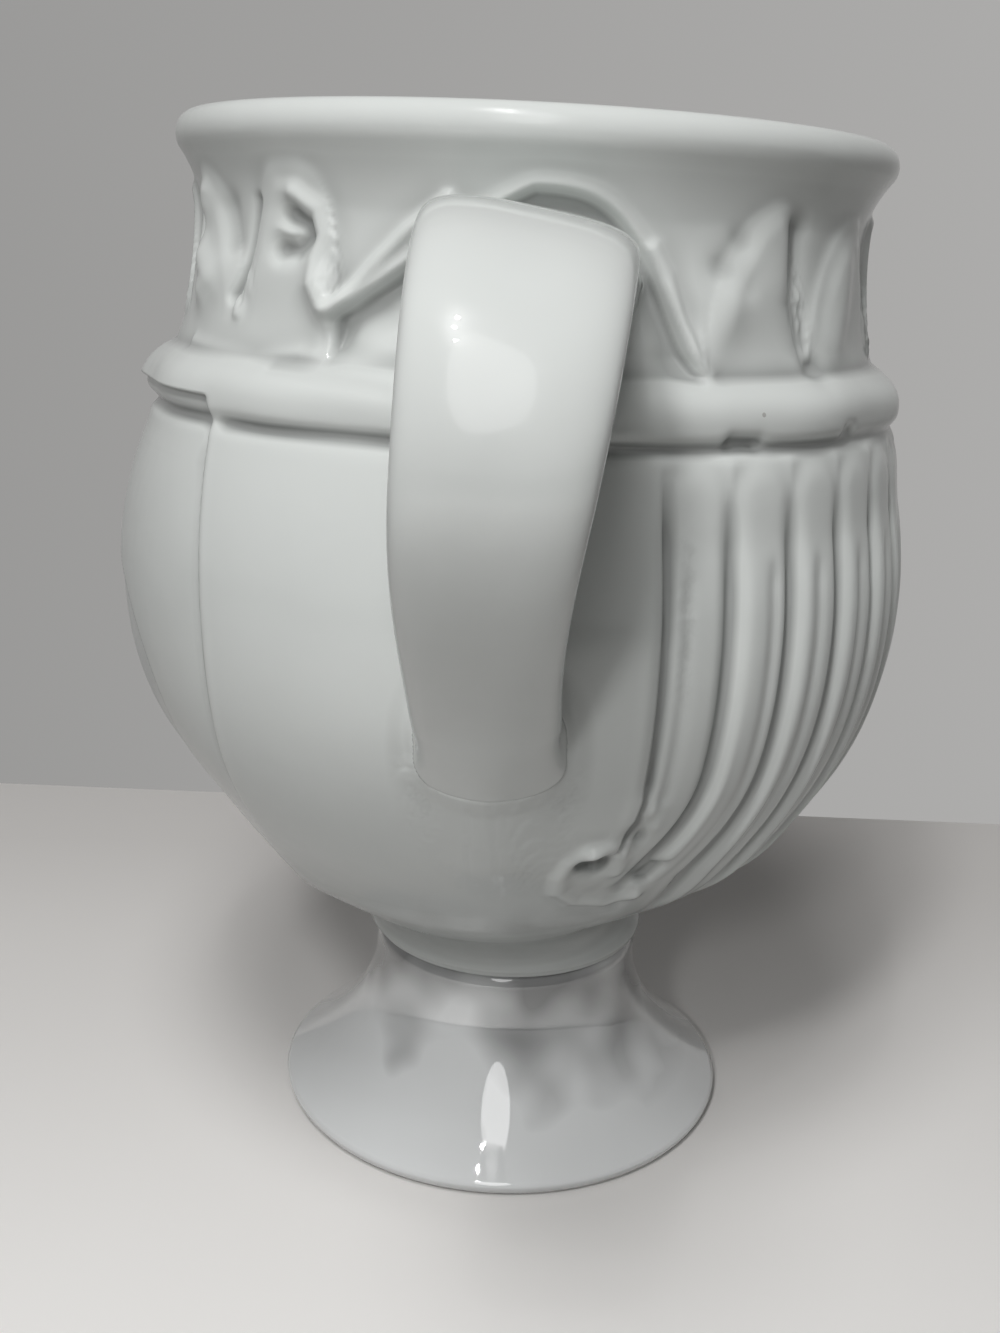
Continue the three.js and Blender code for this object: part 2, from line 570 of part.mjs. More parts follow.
// Middle line of the strap, from inside the neck's wall out, down and back into the bowl's wall.
function strapLine() {
  const reach = -(SEAM_RADIUS + STRAP_REACH);
  const rootZ = RIM_Z - STRAP_TOP_DROP;
  const lowZ = RIM_Z - STRAP_LOW_DROP;
  const elbow = new THREE.Vector3(ELBOW_DRIFT * STRAP_DRIFT, reach, RIM_Z - STRAP_ELBOW_DROP);
  const root = new THREE.Vector3(0, -(turned(rootZ) - ROOT_DEPTH), rootZ - ROOT_SAG);
  const low = new THREE.Vector3(LOW_DRIFT * STRAP_DRIFT, -(turned(lowZ) - ROOT_DEPTH), lowZ - ROOT_DEPTH);
  const fall = elbow.z - lowZ;
  const [firstDrift, secondDrift] = ARCH_DRIFTS.map((share) => share * STRAP_DRIFT);
  const upper = new THREE.CubicBezierCurve3(
    root,
    new THREE.Vector3(firstDrift, reach + STRAP_PULL * (root.y - reach), rootZ + STRAP_RISE),
    new THREE.Vector3(secondDrift, reach, rootZ + ARCH_END_RISE * STRAP_RISE),
    elbow,
  );
  const lower = new THREE.CubicBezierCurve3(
    elbow,
    new THREE.Vector3(STRAP_DRIFT, reach, elbow.z - FALL_START * fall),
    new THREE.Vector3(STRAP_DRIFT, reach + FALL_PULL * (low.y - reach), lowZ + FALL_END * fall),
    low,
  );
  const path = new THREE.CurvePath();
  path.add(upper);
  path.add(lower);
  return path;
}

// The strap as a loft of rounded sections. Spread grows every section, for the bed of slip.
function strapGeometry(spread) {
  const path = strapLine();
  const positions = [];
  const index = [];
  for (let i = 0; i <= STRAP_STEPS; i += 1) {
    const t = i / STRAP_STEPS;
    const centre = path.getPointAt(t);
    const tangent = path.getTangentAt(t);
    const side = new THREE.Vector3(1, 0, 0);
    side.addScaledVector(tangent, -side.dot(tangent)).normalize();
    side.applyAxisAngle(tangent, radians(STRAP_TWIST) * (1 - smooth(t, ...UNTWISTING)));
    const out = new THREE.Vector3().crossVectors(tangent, side);
    const top = UPPER_ROOT_FLARE * clamp(1 - t / ROOT_FLARE_LENGTH, 0, 1) ** 2;
    const end = clamp(1 - (1 - t) / ROOT_FLARE_LENGTH, 0, 1);
    const low = LOWER_ROOT_FLARE * end ** 2;
    const taper = LOWER_ROOT_TAPER * end;
    const narrow = smooth(t, ...NARROWING);
    const width = THREE.MathUtils.lerp(STRAP_WIDTH_TOP, STRAP_WIDTH_LOW, narrow) + top - taper;
    const thickness = STRAP_THICKNESS + top + low;
    for (let j = 0; j < STRAP_SIDES; j += 1) {
      const angle = (2 * Math.PI * j) / STRAP_SIDES;
      const power = 2 / STRAP_ROUNDNESS;
      const across = Math.sign(Math.cos(angle)) * Math.abs(Math.cos(angle)) ** power;
      const through = Math.sign(Math.sin(angle)) * Math.abs(Math.sin(angle)) ** power;
      const point = centre.clone();
      point.addScaledVector(side, across * (width / 2 + spread));
      point.addScaledVector(out, through * (thickness / 2 + spread));
      positions.push(point.x, point.y, point.z);
    }
  }
  const ring = (i, j) => i * STRAP_SIDES + (j % STRAP_SIDES);
  for (let i = 0; i < STRAP_STEPS; i += 1) {
    for (let j = 0; j < STRAP_SIDES; j += 1) {
      index.push(ring(i, j), ring(i, j + 1), ring(i + 1, j + 1));
      index.push(ring(i, j), ring(i + 1, j + 1), ring(i + 1, j));
    }
  }
  for (let j = 1; j < STRAP_SIDES - 1; j += 1) {
    index.push(ring(0, 0), ring(0, j + 1), ring(0, j));
    index.push(ring(STRAP_STEPS, 0), ring(STRAP_STEPS, j), ring(STRAP_STEPS, j + 1));
  }
  const geometry = new THREE.BufferGeometry();
  geometry.setAttribute('position', new THREE.Float32BufferAttribute(positions, 3));
  geometry.setIndex(index);
  return geometry;
}

// Splits what is left of a cut strap into its separate bodies, highest first.
function bodiesFromTop(manifold) {
  return manifold.decompose().sort((a, b) => b.boundingBox().max[2] - a.boundingBox().max[2]);
}

const glaze = (name, color) => new THREE.MeshStandardMaterial({ name, color, roughness: 0.16, metalness: 0 });
const clay = (name, color) => new THREE.MeshStandardMaterial({ name, color, roughness: 0.6, metalness: 0 });

function addMesh(group, name, geometry, material) {
  const mesh = new THREE.Mesh(geometry, material);
  mesh.name = name;
  group.add(mesh);
}

const group = new THREE.Group();
const rawStrap = solid(strapGeometry(0));
const handle = rawStrap.subtract(grownBowl(SLIP + 2 * GAP));
const slipBeds = solid(strapGeometry(SLIP_SPREAD)).intersect(grownBowl(SLIP + GAP)).subtract(grownBowl(GAP));
const [upperSlip, lowerSlip] = bodiesFromTop(slipBeds);

addMesh(group, 'bowl', bowlGeometry(), glaze('bowl_glaze', 0xdcdedc));
addMesh(group, 'pedestal_foot', footGeometry(), glaze('foot_glaze', 0xd4d6d5));
addMesh(group, 'strap_handle', toGeometry(handle), glaze('handle_glaze', 0xdfe1df));
addMesh(group, 'foot_slip_joint', footSlipGeometry(), clay('foot_slip', 0xcfcfca));
addMesh(group, 'upper_handle_slip_joint', toGeometry(upperSlip), clay('upper_slip', 0xd2d2cd));
addMesh(group, 'lower_handle_slip_joint', toGeometry(lowerSlip), clay('lower_slip', 0xd2d2cd));

const middle = new THREE.Box3().setFromObject(group).getCenter(new THREE.Vector3());
group.children.forEach((mesh) => mesh.position.set(-middle.x, -middle.y, 0));

export default group;
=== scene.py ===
"""Looks of a white glazed footed mug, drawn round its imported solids.

The bowl, the foot and the handle are drawn again with a finer surface than the solids have. The
relief follows the same lines. The slip between the pieces is hidden under the glaze, as it is on
the real mug. Lengths are millimetres, and in the glaze, on the stage and at the camera metres.
Angles are degrees, and azimuth 0 is the handle's side. Plus is to the right. A column's start is
its azimuth above the place where the ribs begin to sweep round.
"""
import math

import bpy
import numpy as np
from mathutils import Matrix, Vector
from mathutils.bvhtree import BVHTree


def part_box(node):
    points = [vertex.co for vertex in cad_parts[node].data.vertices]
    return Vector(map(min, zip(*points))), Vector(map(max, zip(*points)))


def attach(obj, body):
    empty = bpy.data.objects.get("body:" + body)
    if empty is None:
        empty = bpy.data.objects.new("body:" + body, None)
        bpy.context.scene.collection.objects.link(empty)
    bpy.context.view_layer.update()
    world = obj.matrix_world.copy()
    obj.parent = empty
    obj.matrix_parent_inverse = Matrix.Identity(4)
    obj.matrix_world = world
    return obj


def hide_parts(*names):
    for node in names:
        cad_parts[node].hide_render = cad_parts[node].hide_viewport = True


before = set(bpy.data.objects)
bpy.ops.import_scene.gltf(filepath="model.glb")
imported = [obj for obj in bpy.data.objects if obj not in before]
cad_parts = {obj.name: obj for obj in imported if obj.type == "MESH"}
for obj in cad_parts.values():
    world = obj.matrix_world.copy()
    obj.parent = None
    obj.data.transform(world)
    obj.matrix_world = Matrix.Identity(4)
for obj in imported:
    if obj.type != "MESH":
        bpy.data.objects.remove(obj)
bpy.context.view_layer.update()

MM = 0.001
foot_low, foot_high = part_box("pedestal_foot")
AXIS = Vector(((foot_low.x + foot_high.x) / 2, (foot_low.y + foot_high.y) / 2, 0))

# The turned form. Its rim height and belly radius, and further down the strap's reach and drops,
# are a hair under the solids' values, so that the finer surface stays inside the solids' box.
FOOT_HEIGHT, FOOT_EDGE, FOOT_FLARE = 22.3, 1.8, 2.25
FOOT_RADIUS, FOOT_TOP_RADIUS = 30.6, 18.0
REST_RADIUS, REST_WIDTH, REST_BEVEL = 28.9, 3.2, 0.3
FOOT_HOLLOW, FOOT_HOLLOW_CURVE, FOOT_HOLLOW_SHARES = 15.5, 0.62, (0.995, 0.03)
BOWL_BOTTOM = 23.9
FOOT_TUCK = [(0.3, FOOT_HEIGHT + 0.9), (0.9, BOWL_BOTTOM + 0.1)]  # inset and height in the collar
COLLAR_TOP = 28.6
BELLY_Z = 75.0
SEAM_Z = 97.9
NECK_Z = 116.6
RIM_Z = 127.48
LIP_ROUND, LIP_TURN = 2.4, math.radians(36)
LIP_Z = RIM_Z - LIP_ROUND
COLLAR_RADIUS, COLLAR_EDGE, COLLAR_BLEND = 18.5, 0.9, 2.2
COLLAR_FLARE, COLLAR_FLARE_HEIGHT = 0.5, 1.5
BELLY_RADIUS, BELLY_CURVE, BELLY_FULLNESS = 50.35, 2.2, 0.9
SEAM_RADIUS, NECK_RADIUS, LIP_RADIUS = 44.2, 39.5, 42.4
WALL, LIP_WALL = 4.4, 4.0
FLARE_Z = LIP_Z - LIP_ROUND * math.sin(LIP_TURN)
FLARE_RADIUS = LIP_RADIUS - LIP_WALL / 2 * (1 - math.cos(LIP_TURN))
BOWL_FLOOR, FLOOR_ROUND = 8.2, 7.0
BOWL_WARP = 1.1
RIM_TILT = 0.6

# Uneven places: azimuth, height, how much is off there, and the reach of each in degrees and height
TRIMMED = [
    (75, 31.8, 6.0, 50, 4.0),
    (75, 41.6, -0.9, 50, 5.0),
    (-80, 38.1, -1.5, 35, 3.0),
    (-80, 49.6, 1.6, 35, 7.0),
    (-80, 96.3, -0.8, 30, 2.2),
]

# Belt
BELT_RADIUS, BELT_FULL_Z, BELT_ABOVE, BELT_BELOW = 45.7, 97.3, 5.0, 1.9
BELT_BOTTOM, BELT_TOP = BELT_FULL_Z - BELT_BELOW, BELT_FULL_Z + BELT_ABOVE
BELT_SQUARENESS, BELT_SLOPE, BELT_TUCK = 2.3, 1.15, 0.8
BELT_CREASE, BELT_CREASE_WIDTH, BELT_WAVE = 0.8, 0.8, 0.25
BELT_WAVES = [(5, 3.1), (9, 2.6), (14, 3.4)]
CREASE_GAPS, CREASE_GAP = [(75, 30), (-45, 2.5)], 0.7  # azimuth and reach, and how much is missing

# Ribs and panels
PANEL_STEP_AT, PANEL_STEP, PANEL_STEP_WIDTH = -41.0, 1.0, 1.2
PANEL_STEP_BOW, PANEL_STEP_Z = 0.0085, 70.0
PANEL_GROOVE, PANEL_GROOVE_WIDTH = 0.4, 0.7
RIB_START, RIB_PITCH, RIB_COUNT = 17.0, 9.8, 27
RIB_FIELD, RIB_GROOVE, RIB_GROOVE_WIDTH = 1.4, 1.5, 1.3
GROOVE_EASE, GROOVE_EASE_Z = 0.82, 80.0  # how much of a groove is lost at the top, and from where
RIB_LINE, RIB_LINE_WIDTH = 0.35, 0.9
RIB_LINE_SHIFT = [-1.5, 1.3, -0.3]  # degrees, on the first ribs; on the others it is in the middle
RIB_BEAD, RIB_BEAD_AT, RIB_BEAD_WIDTH, RIB_BEAD_ENDS = 0.5, 1.7, 0.7, (50, 72)
FIELD_EDGE, FIELD_LEAD, FIELD_CORNER_EDGE = 3.4, 2.0, 2.0
FIELD_SPREAD, FIELD_SPREAD_ENDS = 12.0, (44, 56)  # the field's edge runs out towards the bottom
RIB_TOP_Z, RIB_ARCH, RIB_TOP_FADE, RIB_FADE = 94.3, 4.0, 9.0, 10.0
RIB_FOOT, RIB_FOOT_FADE, RIB_FOOT_RISE, RIB_FOOT_REACH = 5.0, 11.0, 14.0, 1.2
RIB_SWEEP, RIB_SWEEP_AT, RIB_SWEEP_REACH = 8.5, 7.0, 13.5
RIB_SWEEP_DROP, RIB_SWEEP_HEIGHT = 13.0, 16.0
FIELD_CORNER_DROP, FIELD_CORNER_WIDTH = 20.0, 23.0

# Leaf tips: left notch, tip, right notch, their three heights, then how full each side is as a
# pair of exponents, then how proud the leaf stands and how high its rolled edge is.
LEAVES = [
    (-28.2, 0.0, 24.0, 107.4, 120.2, 102.8, (1.15, 1.0), (3.0, 1.1), -1.5, 0.45),
    (-47.2, -38.0, -28.2, 108.4, 121.4, 107.4, (2.8, 0.5), (3.4, 0.6), 0.9, 0.15),
    (-71.0, -61.5, -48.6, 107.0, 121.2, 108.4, (2.4, 0.6), (1.9, 0.9), 0.8, 0.1),
    (24.0, 38.0, 45.0, 102.8, 119.6, 104.0, (1.9, 0.8), (2.6, 0.5), 0.95, 0.0),
    (46.0, 60.5, 71.0, 104.0, 118.4, 104.5, (2.0, 0.7), (2.4, 0.6), 0.7, 0.2),
]
SIDE_LEAF_START, SIDE_LEAF, SIDE_LEAF_TIP, SIDE_LEAF_FULL = 71.0, 24.2, 0.46, (2.4, 0.6)
SIDE_LEAF_NOTCH_Z, SIDE_LEAF_HEIGHT, SIDE_LEAF_SWING = 105.5, 13.8, 1.2
SIDE_LEAF_PROUD, SIDE_LEAF_ROLL = 0.5, 0.65
LEAF_EDGE, LEAF_EDGE_START = 1.5, -0.8
LEAF_ROLL_AT, LEAF_ROLL_WIDTH = 0.2 * LEAF_EDGE, 0.6 * LEAF_EDGE
LEAF_RUNS_OUT = (103.5, 112.0)
LEAF_FOOT = (BELT_TOP - 1.5, BELT_TOP + 2)
HOLLOW_EASE, HOLLOW_EASE_ENDS = 0.75, (2, 7)  # how much shallower a hollow is in its middle
LEAF_SEARCH = 9.0  # degrees on either side in which the outline's nearest point is looked for
LEAF_STEP, LEAF_BLEND = 0.1, 10  # degrees between columns, and columns over which leaves blend

# Strap. The drifts, pulls and falls after its first four rows are shares of the whole ones.
STRAP_REACH, STRAP_TOP_DROP, STRAP_RISE, STRAP_PULL = 28.7, 15.1, 6.0, 0.62
STRAP_ELBOW_DROP, STRAP_LOW_DROP = 31.1, 61.3
STRAP_WIDTH_TOP, STRAP_WIDTH_LOW, STRAP_THICKNESS = 19.6, 14.2, 6.0
STRAP_DRIFT, STRAP_TWIST, STRAP_ROUNDNESS = -3.3, -9.5, 3.0
UPPER_DRIFTS, ELBOW_DRIFT, LOW_DRIFT = (0.1, 0.2), 0.7, 0.6
UPPER_RISE, LOWER_FALLS, LOWER_PULL = 0.2, (0.3, 0.4), 0.45
TWIST_ENDS, TAPER_ENDS, ROOTS_CHANGE = (0.1, 0.6), (0.1, 0.8), (0.4, 0.6)  # along its length
UPPER_ROOT_FLARE, LOWER_ROOT_THIN, LOWER_ROOT_TAPER, ROOT_FLARE_LENGTH = 1.4, 4.4, 1.6, 0.13
LOWER_ROOT_BURIED = 9.0
ROOT_DEPTH, UPPER_ROOT_SAG = 3.0, 1.0
# Reach of the smoothed clay where a root meets the bowl: at the sides, outer face and inner face
UPPER_FILLET = (1.8, 1.8, 2.5)
LOWER_FILLET = (4.0, 12.0, 4.0)
FILLET_SEARCH = 18.0
SWELL_STEPS = 8

# How finely the surfaces are drawn
FINE = 1
COLUMNS = 840 // FINE
OUTER_ROWS = [(41, 60), (91, 150), (FLARE_Z, 130)]  # the height they reach, and how many
EDGE_ROWS, LIP_ROWS, INNER_ROWS, FLOOR_ROWS = 6, 24, 60, 12
POOL_SHADE_ROWS, POOL_SHADE_COLUMNS = 9 // FINE, 7 // FINE  # averaged on each side to find the hollows
STRAP_RINGS, STRAP_SIDES, STRAP_SAMPLES = 300 // FINE, 96, 400
FOOT_SIDES, FOOT_ROWS, FOOT_EDGE_ROWS, FOOT_HOLLOW_ROWS = 256, 60, 9, 24
POLE = 0.01  # radius of the small ring that closes a surface
SLOPE_STEP = 0.05
FAR = 1e9

# The speckled streak on the first rib: azimuth, width, and the heights where it begins and ends
PEEL_AT, PEEL_WIDTH, PEEL_BEGINS, PEEL_ENDS = 20.2, 1.7, (66, 74), (86, 91)


def smooth(x, start, stop):
    t = np.clip((x - start) / (stop - start), 0, 1)
    return t * t * (3 - 2 * t)


def bell(x, width):
    return np.exp(-((x / width) ** 2))


def wrap(angle):
    return (angle + 180) % 360 - 180


def turned(z):
    """The bowl's radius without its relief."""
    z = np.asarray(z, float)
    rest = np.clip((BELLY_Z - z) / (BELLY_Z - COLLAR_TOP), 0, 1)
    full = (1 - rest**BELLY_CURVE) ** BELLY_FULLNESS
    low = COLLAR_RADIUS + (BELLY_RADIUS - COLLAR_RADIUS) * full
    high = BELLY_RADIUS - (BELLY_RADIUS - SEAM_RADIUS) * ((z - BELLY_Z) / (SEAM_Z - BELLY_Z)) ** 2
    neck = NECK_RADIUS + (SEAM_RADIUS - NECK_RADIUS) * ((NECK_Z - z) / (NECK_Z - SEAM_Z)) ** 2
    share = np.clip((z - NECK_Z) / (FLARE_Z - NECK_Z), 0, 1)
    flare = NECK_RADIUS + (FLARE_RADIUS - NECK_RADIUS) * share**2
    collar = np.full_like(z, COLLAR_RADIUS)
    below = [z < COLLAR_TOP, z < BELLY_Z, z < SEAM_Z, z < NECK_Z]
    return np.select(below, [collar, low, high, neck], flare)


def softened(z):
    """The turned form with the corner over the collar rounded off and the collar's foot flared."""
    near = 1 - smooth(np.abs(z - COLLAR_TOP), COLLAR_BLEND, 3 * COLLAR_BLEND)
    mean = np.mean([turned(z + step * COLLAR_BLEND) for step in np.linspace(-1, 1, 9)], axis=0)
    flare = COLLAR_FLARE * bell(z - BOWL_BOTTOM - COLLAR_EDGE, COLLAR_FLARE_HEIGHT)
    return turned(z) + near * (mean - turned(z)) + flare


def slope(z):
    return (turned(z + SLOPE_STEP) - turned(z - SLOPE_STEP)) / (2 * SLOPE_STEP)


def leaf_side(turn, middle, notch, tip, low, shape):
    share = np.clip(np.abs(turn - middle) / abs(notch - middle), 0, 1)
    return low + (tip - low) * (1 - share ** shape[0]) ** shape[1]


def leaf_tables():
    """Height of the leaves' outline, and how proud the leaves and their rolls are, by azimuth."""
    azimuth = np.arange(-180, 180, LEAF_STEP)
    turn = np.maximum(0, np.abs(azimuth) - SIDE_LEAF_START)
    place = (turn % SIDE_LEAF) / SIDE_LEAF
    rising, falling = 1 - place / SIDE_LEAF_TIP, (place - SIDE_LEAF_TIP) / (1 - SIDE_LEAF_TIP)
    share = np.where(place < SIDE_LEAF_TIP, rising, falling)
    full = (1 - share ** SIDE_LEAF_FULL[0]) ** SIDE_LEAF_FULL[1]
    line = SIDE_LEAF_NOTCH_Z + SIDE_LEAF_HEIGHT * full
    line -= SIDE_LEAF_SWING * np.sin(np.radians(2 * azimuth))
    proud = np.full_like(azimuth, SIDE_LEAF_PROUD)
    roll = np.full_like(azimuth, SIDE_LEAF_ROLL)
    for left, middle, right, low_left, tip, low_right, *full_sides, stands, rolled in LEAVES:
        ends = ((left, low_left, left, middle), (right, low_right, middle, right))
        for (notch, low, begin, end), shape in zip(ends, full_sides):
            on_side = (azimuth >= begin) & (azimuth < end)
            line = np.where(on_side, leaf_side(azimuth, middle, notch, tip, low, shape), line)
            proud[on_side] = stands
            roll[on_side] = rolled
    soft = np.ones(2 * LEAF_BLEND + 1) / (2 * LEAF_BLEND + 1)
    proud, roll = (
        np.convolve(np.pad(values, LEAF_BLEND, "wrap"), soft, "valid") for values in (proud, roll)
    )
    return azimuth, line, proud, roll


LEAF_AZIMUTH, LEAF_LINE, LEAF_PROUD, LEAF_ROLL = leaf_tables()


def by_azimuth(azimuth, values):
    return np.interp(azimuth, LEAF_AZIMUTH, values, period=360)


def leaf_relief(azimuth, z, radius):
    away = np.full(azimuth.shape, FAR)
    for turn in np.linspace(-LEAF_SEARCH, LEAF_SEARCH, 61):
        line = by_azimuth(azimuth + turn, LEAF_LINE)
        away = np.minimum(away, np.hypot(np.radians(turn) * radius, line - z))
    inside = np.where(z < by_azimuth(azimuth, LEAF_LINE), away, -away)
    proud = by_azimuth(azimuth, LEAF_PROUD)
    # A raised leaf runs out below. A hollowed one is deepest just inside its outline.
    raised = np.maximum(proud, 0) * smooth(inside, LEAF_EDGE_START, 2 * LEAF_EDGE)
    raised *= smooth(z, *LEAF_RUNS_OUT)
    hollow = np.minimum(proud, 0) * smooth(inside, 0, LEAF_EDGE)
    hollow *= 1 - HOLLOW_EASE * smooth(inside, *HOLLOW_EASE_ENDS)
    roll = by_azimuth(azimuth, LEAF_ROLL) * bell(inside - LEAF_ROLL_AT, LEAF_ROLL_WIDTH)
    return (raised + hollow + roll) * smooth(z, *LEAF_FOOT)


def belt_relief(azimuth, z):
    wave = sum(np.sin(count * np.radians(azimuth) + begin) for count, begin in BELT_WAVES)
    above = z > BELT_FULL_Z
    rise = np.minimum(1, np.abs(z - BELT_FULL_Z) / np.where(above, BELT_ABOVE, BELT_BELOW))
    body = (1 - rise**BELT_SQUARENESS) ** np.where(above, BELT_SLOPE, BELT_TUCK)
    gaps = sum(bell(wrap(azimuth - at), reach) for at, reach in CREASE_GAPS)
    depth = BELT_CREASE * (1 - CREASE_GAP * gaps)
    crease = depth * bell(z - BELT_BOTTOM, BELT_CREASE_WIDTH)
    return (BELT_RADIUS - turned(z) + BELT_WAVE * wave) * body - crease


def leaned(start, z):
    """The azimuth at a height of a column, which leans where the ribs sweep round."""
    half = RIB_PITCH * RIB_COUNT / 2
    from_middle = wrap(start - RIB_START - half)
    lean = bell(half - np.abs(from_middle) - RIB_SWEEP_AT, RIB_SWEEP_REACH)
    depth = np.clip((BELLY_Z - RIB_SWEEP_DROP - z) / RIB_SWEEP_HEIGHT, 0, 1)
    return start + np.sign(from_middle) * RIB_SWEEP * lean * depth**2


def rib_relief(start, z, radius):
    along = (start - RIB_START) / RIB_PITCH
    index = np.clip(np.floor(along), 0, RIB_COUNT - 1).astype(int)
    shifts = np.zeros(RIB_COUNT)
    shifts[: len(RIB_LINE_SHIFT)] = RIB_LINE_SHIFT
    width = math.radians(RIB_PITCH) * radius
    across = (along - np.floor(along) - 0.5) * width
    over = np.maximum(0, z - (RIB_TOP_Z - 0.5 * width))
    inside = 0.5 * width - np.hypot(across, over)
    foot = COLLAR_TOP + RIB_FOOT + RIB_FOOT_RISE * bell(along, RIB_FOOT_REACH)
    fade = smooth(z, foot, foot + RIB_FOOT_FADE) * (1 - smooth(z, RIB_TOP_Z, BELT_BOTTOM))
    ease = 1 - GROOVE_EASE * smooth(z, GROOVE_EASE_Z, RIB_TOP_Z - 1)
    groove = RIB_GROOVE * bell(inside, RIB_GROOVE_WIDTH) * ease
    line_top = RIB_TOP_Z - width
    line = RIB_LINE * bell(across - np.radians(shifts[index]) * radius, RIB_LINE_WIDTH)
    line *= 1 - smooth(z, line_top - RIB_ARCH, line_top)
    bead = RIB_BEAD * bell(across + 0.5 * width - RIB_BEAD_AT, RIB_BEAD_WIDTH)
    bead *= 1 - smooth(z, *RIB_BEAD_ENDS)
    within = (along >= 0) & (along <= RIB_COUNT) & (z < SEAM_Z)
    return np.where(within, fade * (bead - groove - line), 0)


def panel_relief(start, azimuth, z, radius):
    fade = smooth(z, COLLAR_TOP, COLLAR_TOP + RIB_FADE)
    edge = PANEL_STEP_AT - PANEL_STEP_BOW * (z - PANEL_STEP_Z) ** 2
    from_edge = np.radians(azimuth - edge) * radius
    turn_in = np.clip((SEAM_Z - FIELD_CORNER_DROP - z) / FIELD_CORNER_DROP, 0, 1)
    corner_at = FIELD_CORNER_WIDTH * np.sqrt(1 - (1 - turn_in) ** 2)
    corner_at = wrap(RIB_START + RIB_PITCH * RIB_COUNT) + corner_at
    from_corner = np.radians(corner_at - azimuth) * radius
    corner = smooth(from_corner, -FIELD_CORNER_EDGE / 2, FIELD_CORNER_EDGE / 2)
    from_start = np.radians(wrap(start) - RIB_START) * radius + FIELD_LEAD
    top = 1 - smooth(z, RIB_TOP_Z - RIB_TOP_FADE, BELT_BOTTOM)
    spread = FIELD_SPREAD * (1 - smooth(z, *FIELD_SPREAD_ENDS))
    field = top * np.maximum(smooth(from_start, -spread, FIELD_EDGE + spread), corner)
    step = PANEL_STEP * (1 - smooth(from_edge, -PANEL_STEP_WIDTH / 2, PANEL_STEP_WIDTH / 2))
    step = np.where(azimuth < 0, step, 0)
    groove = PANEL_GROOVE * bell(from_edge, PANEL_GROOVE_WIDTH)
    return -fade * (np.maximum(RIB_FIELD * field, step) + groove)


# Hand-finished marks: points as (azimuth, height), then how proud and how wide.
MARKS = [
    (((-45.6, 117.5), (-46.6, 114.6), (-47.6, 111.0), (-50.0, 108.0)), -1.0, 0.75),
    (((-36.8, 116.2), (-34.6, 115.4), (-34.0, 114.2), (-36.2, 113.0), (-38.6, 112.9)), -1.3, 1.3),
    (
        ((-36.2, 118.2), (-32.4, 116.8), (-31.2, 114.4), (-31.6, 112.0), (-31.4, 109.8),
         (-29.8, 107.6)),
        0.6,
        1.1,
    ),
    (((-31.2, 109.6), (-29.4, 107.4), (-27.2, 107.9)), 0.7, 1.7),
    (((-28.6, 107.4), (-26.7, 108.8), (-23.4, 111.3), (-17.7, 115.2), (-12.0, 118.4)), 0.75, 0.8),
    (((-19.5, 107.4), (-16.0, 110.5)), -0.8, 3.2),
    (((-65.3, 115.9), (-65.1, 115.0)), -1.3, 1.1),
    (((-62.0, 118.6), (-62.4, 117.6)), 0.5, 1.6),
    (((-61.5, 111.8), (-58.6, 109.8), (-60.4, 108.6)), 0.9, 2.1),
    (((-54.0, 117.0), (-52.0, 113.5)), -0.5, 1.8),
    (((-60.0, 102.9), (-41.5, 102.1), (-33.1, 103.0), (-25.1, 102.2), (-14.0, 101.5)), 0.3, 0.8),
    (((-36.0, 101.4), (-33.4, 101.3), (-24.4, 100.7), (-18.0, 100.2)), -0.25, 0.7),
    (((17.3, 114.4), (19.4, 111.9), (21.0, 108.0), (22.6, 104.9), (25.0, 102.5)), 0.5, 0.8),
    (((24.0, 111.0), (27.5, 114.0)), 0.2, 2.6),
    (((28.0, 112.7), (31.6, 110.8)), -0.45, 1.7),
    (((31.2, 115.4), (31.6, 115.2)), -0.3, 1.4),
    (((28.9, 109.8), (27.3, 107.5), (25.4, 105.4)), 0.65, 2.8),
    (((43.6, 117.0), (42.8, 112.5), (42.4, 109.4), (44.1, 106.6), (46.0, 103.2)), -0.9, 1.8),
    (((56.0, 113.2), (55.0, 108.6), (53.0, 106.0)), 0.7, 2.8),
    (((27.3, 96.2), (31.0, 96.0)), -0.9, 0.9),
    (((48.9, 96.7), (50.8, 96.6)), -0.6, 0.8),
    (((11.6, 51.0), (12.6, 50.7)), -2.4, 1.7),
    (((16.8, 59.6), (16.6, 57.6)), 0.6, 1.4),
    (((19.7, 58.0), (19.7, 55.9)), 0.5, 1.2),
    (((18.1, 56.6), (18.3, 54.4)), -0.6, 0.9),
    (((11.2, 53.2), (14.3, 53.8), (16.7, 51.6), (16.2, 49.4)), 0.9, 1.1),
    (
        ((11.2, 53.2), (8.7, 51.6), (7.6, 49.4), (8.0, 46.7), (11.3, 44.6), (17.4, 43.6),
         (22.2, 44.4)),
        0.85,
        1.1,
    ),
    (((23.0, 47.3), (24.3, 48.9)), -1.7, 1.0),
    (((55.6, 82.2), (55.6, 80.8)), -0.8, 0.9),
]
MARK_MARGIN = 9


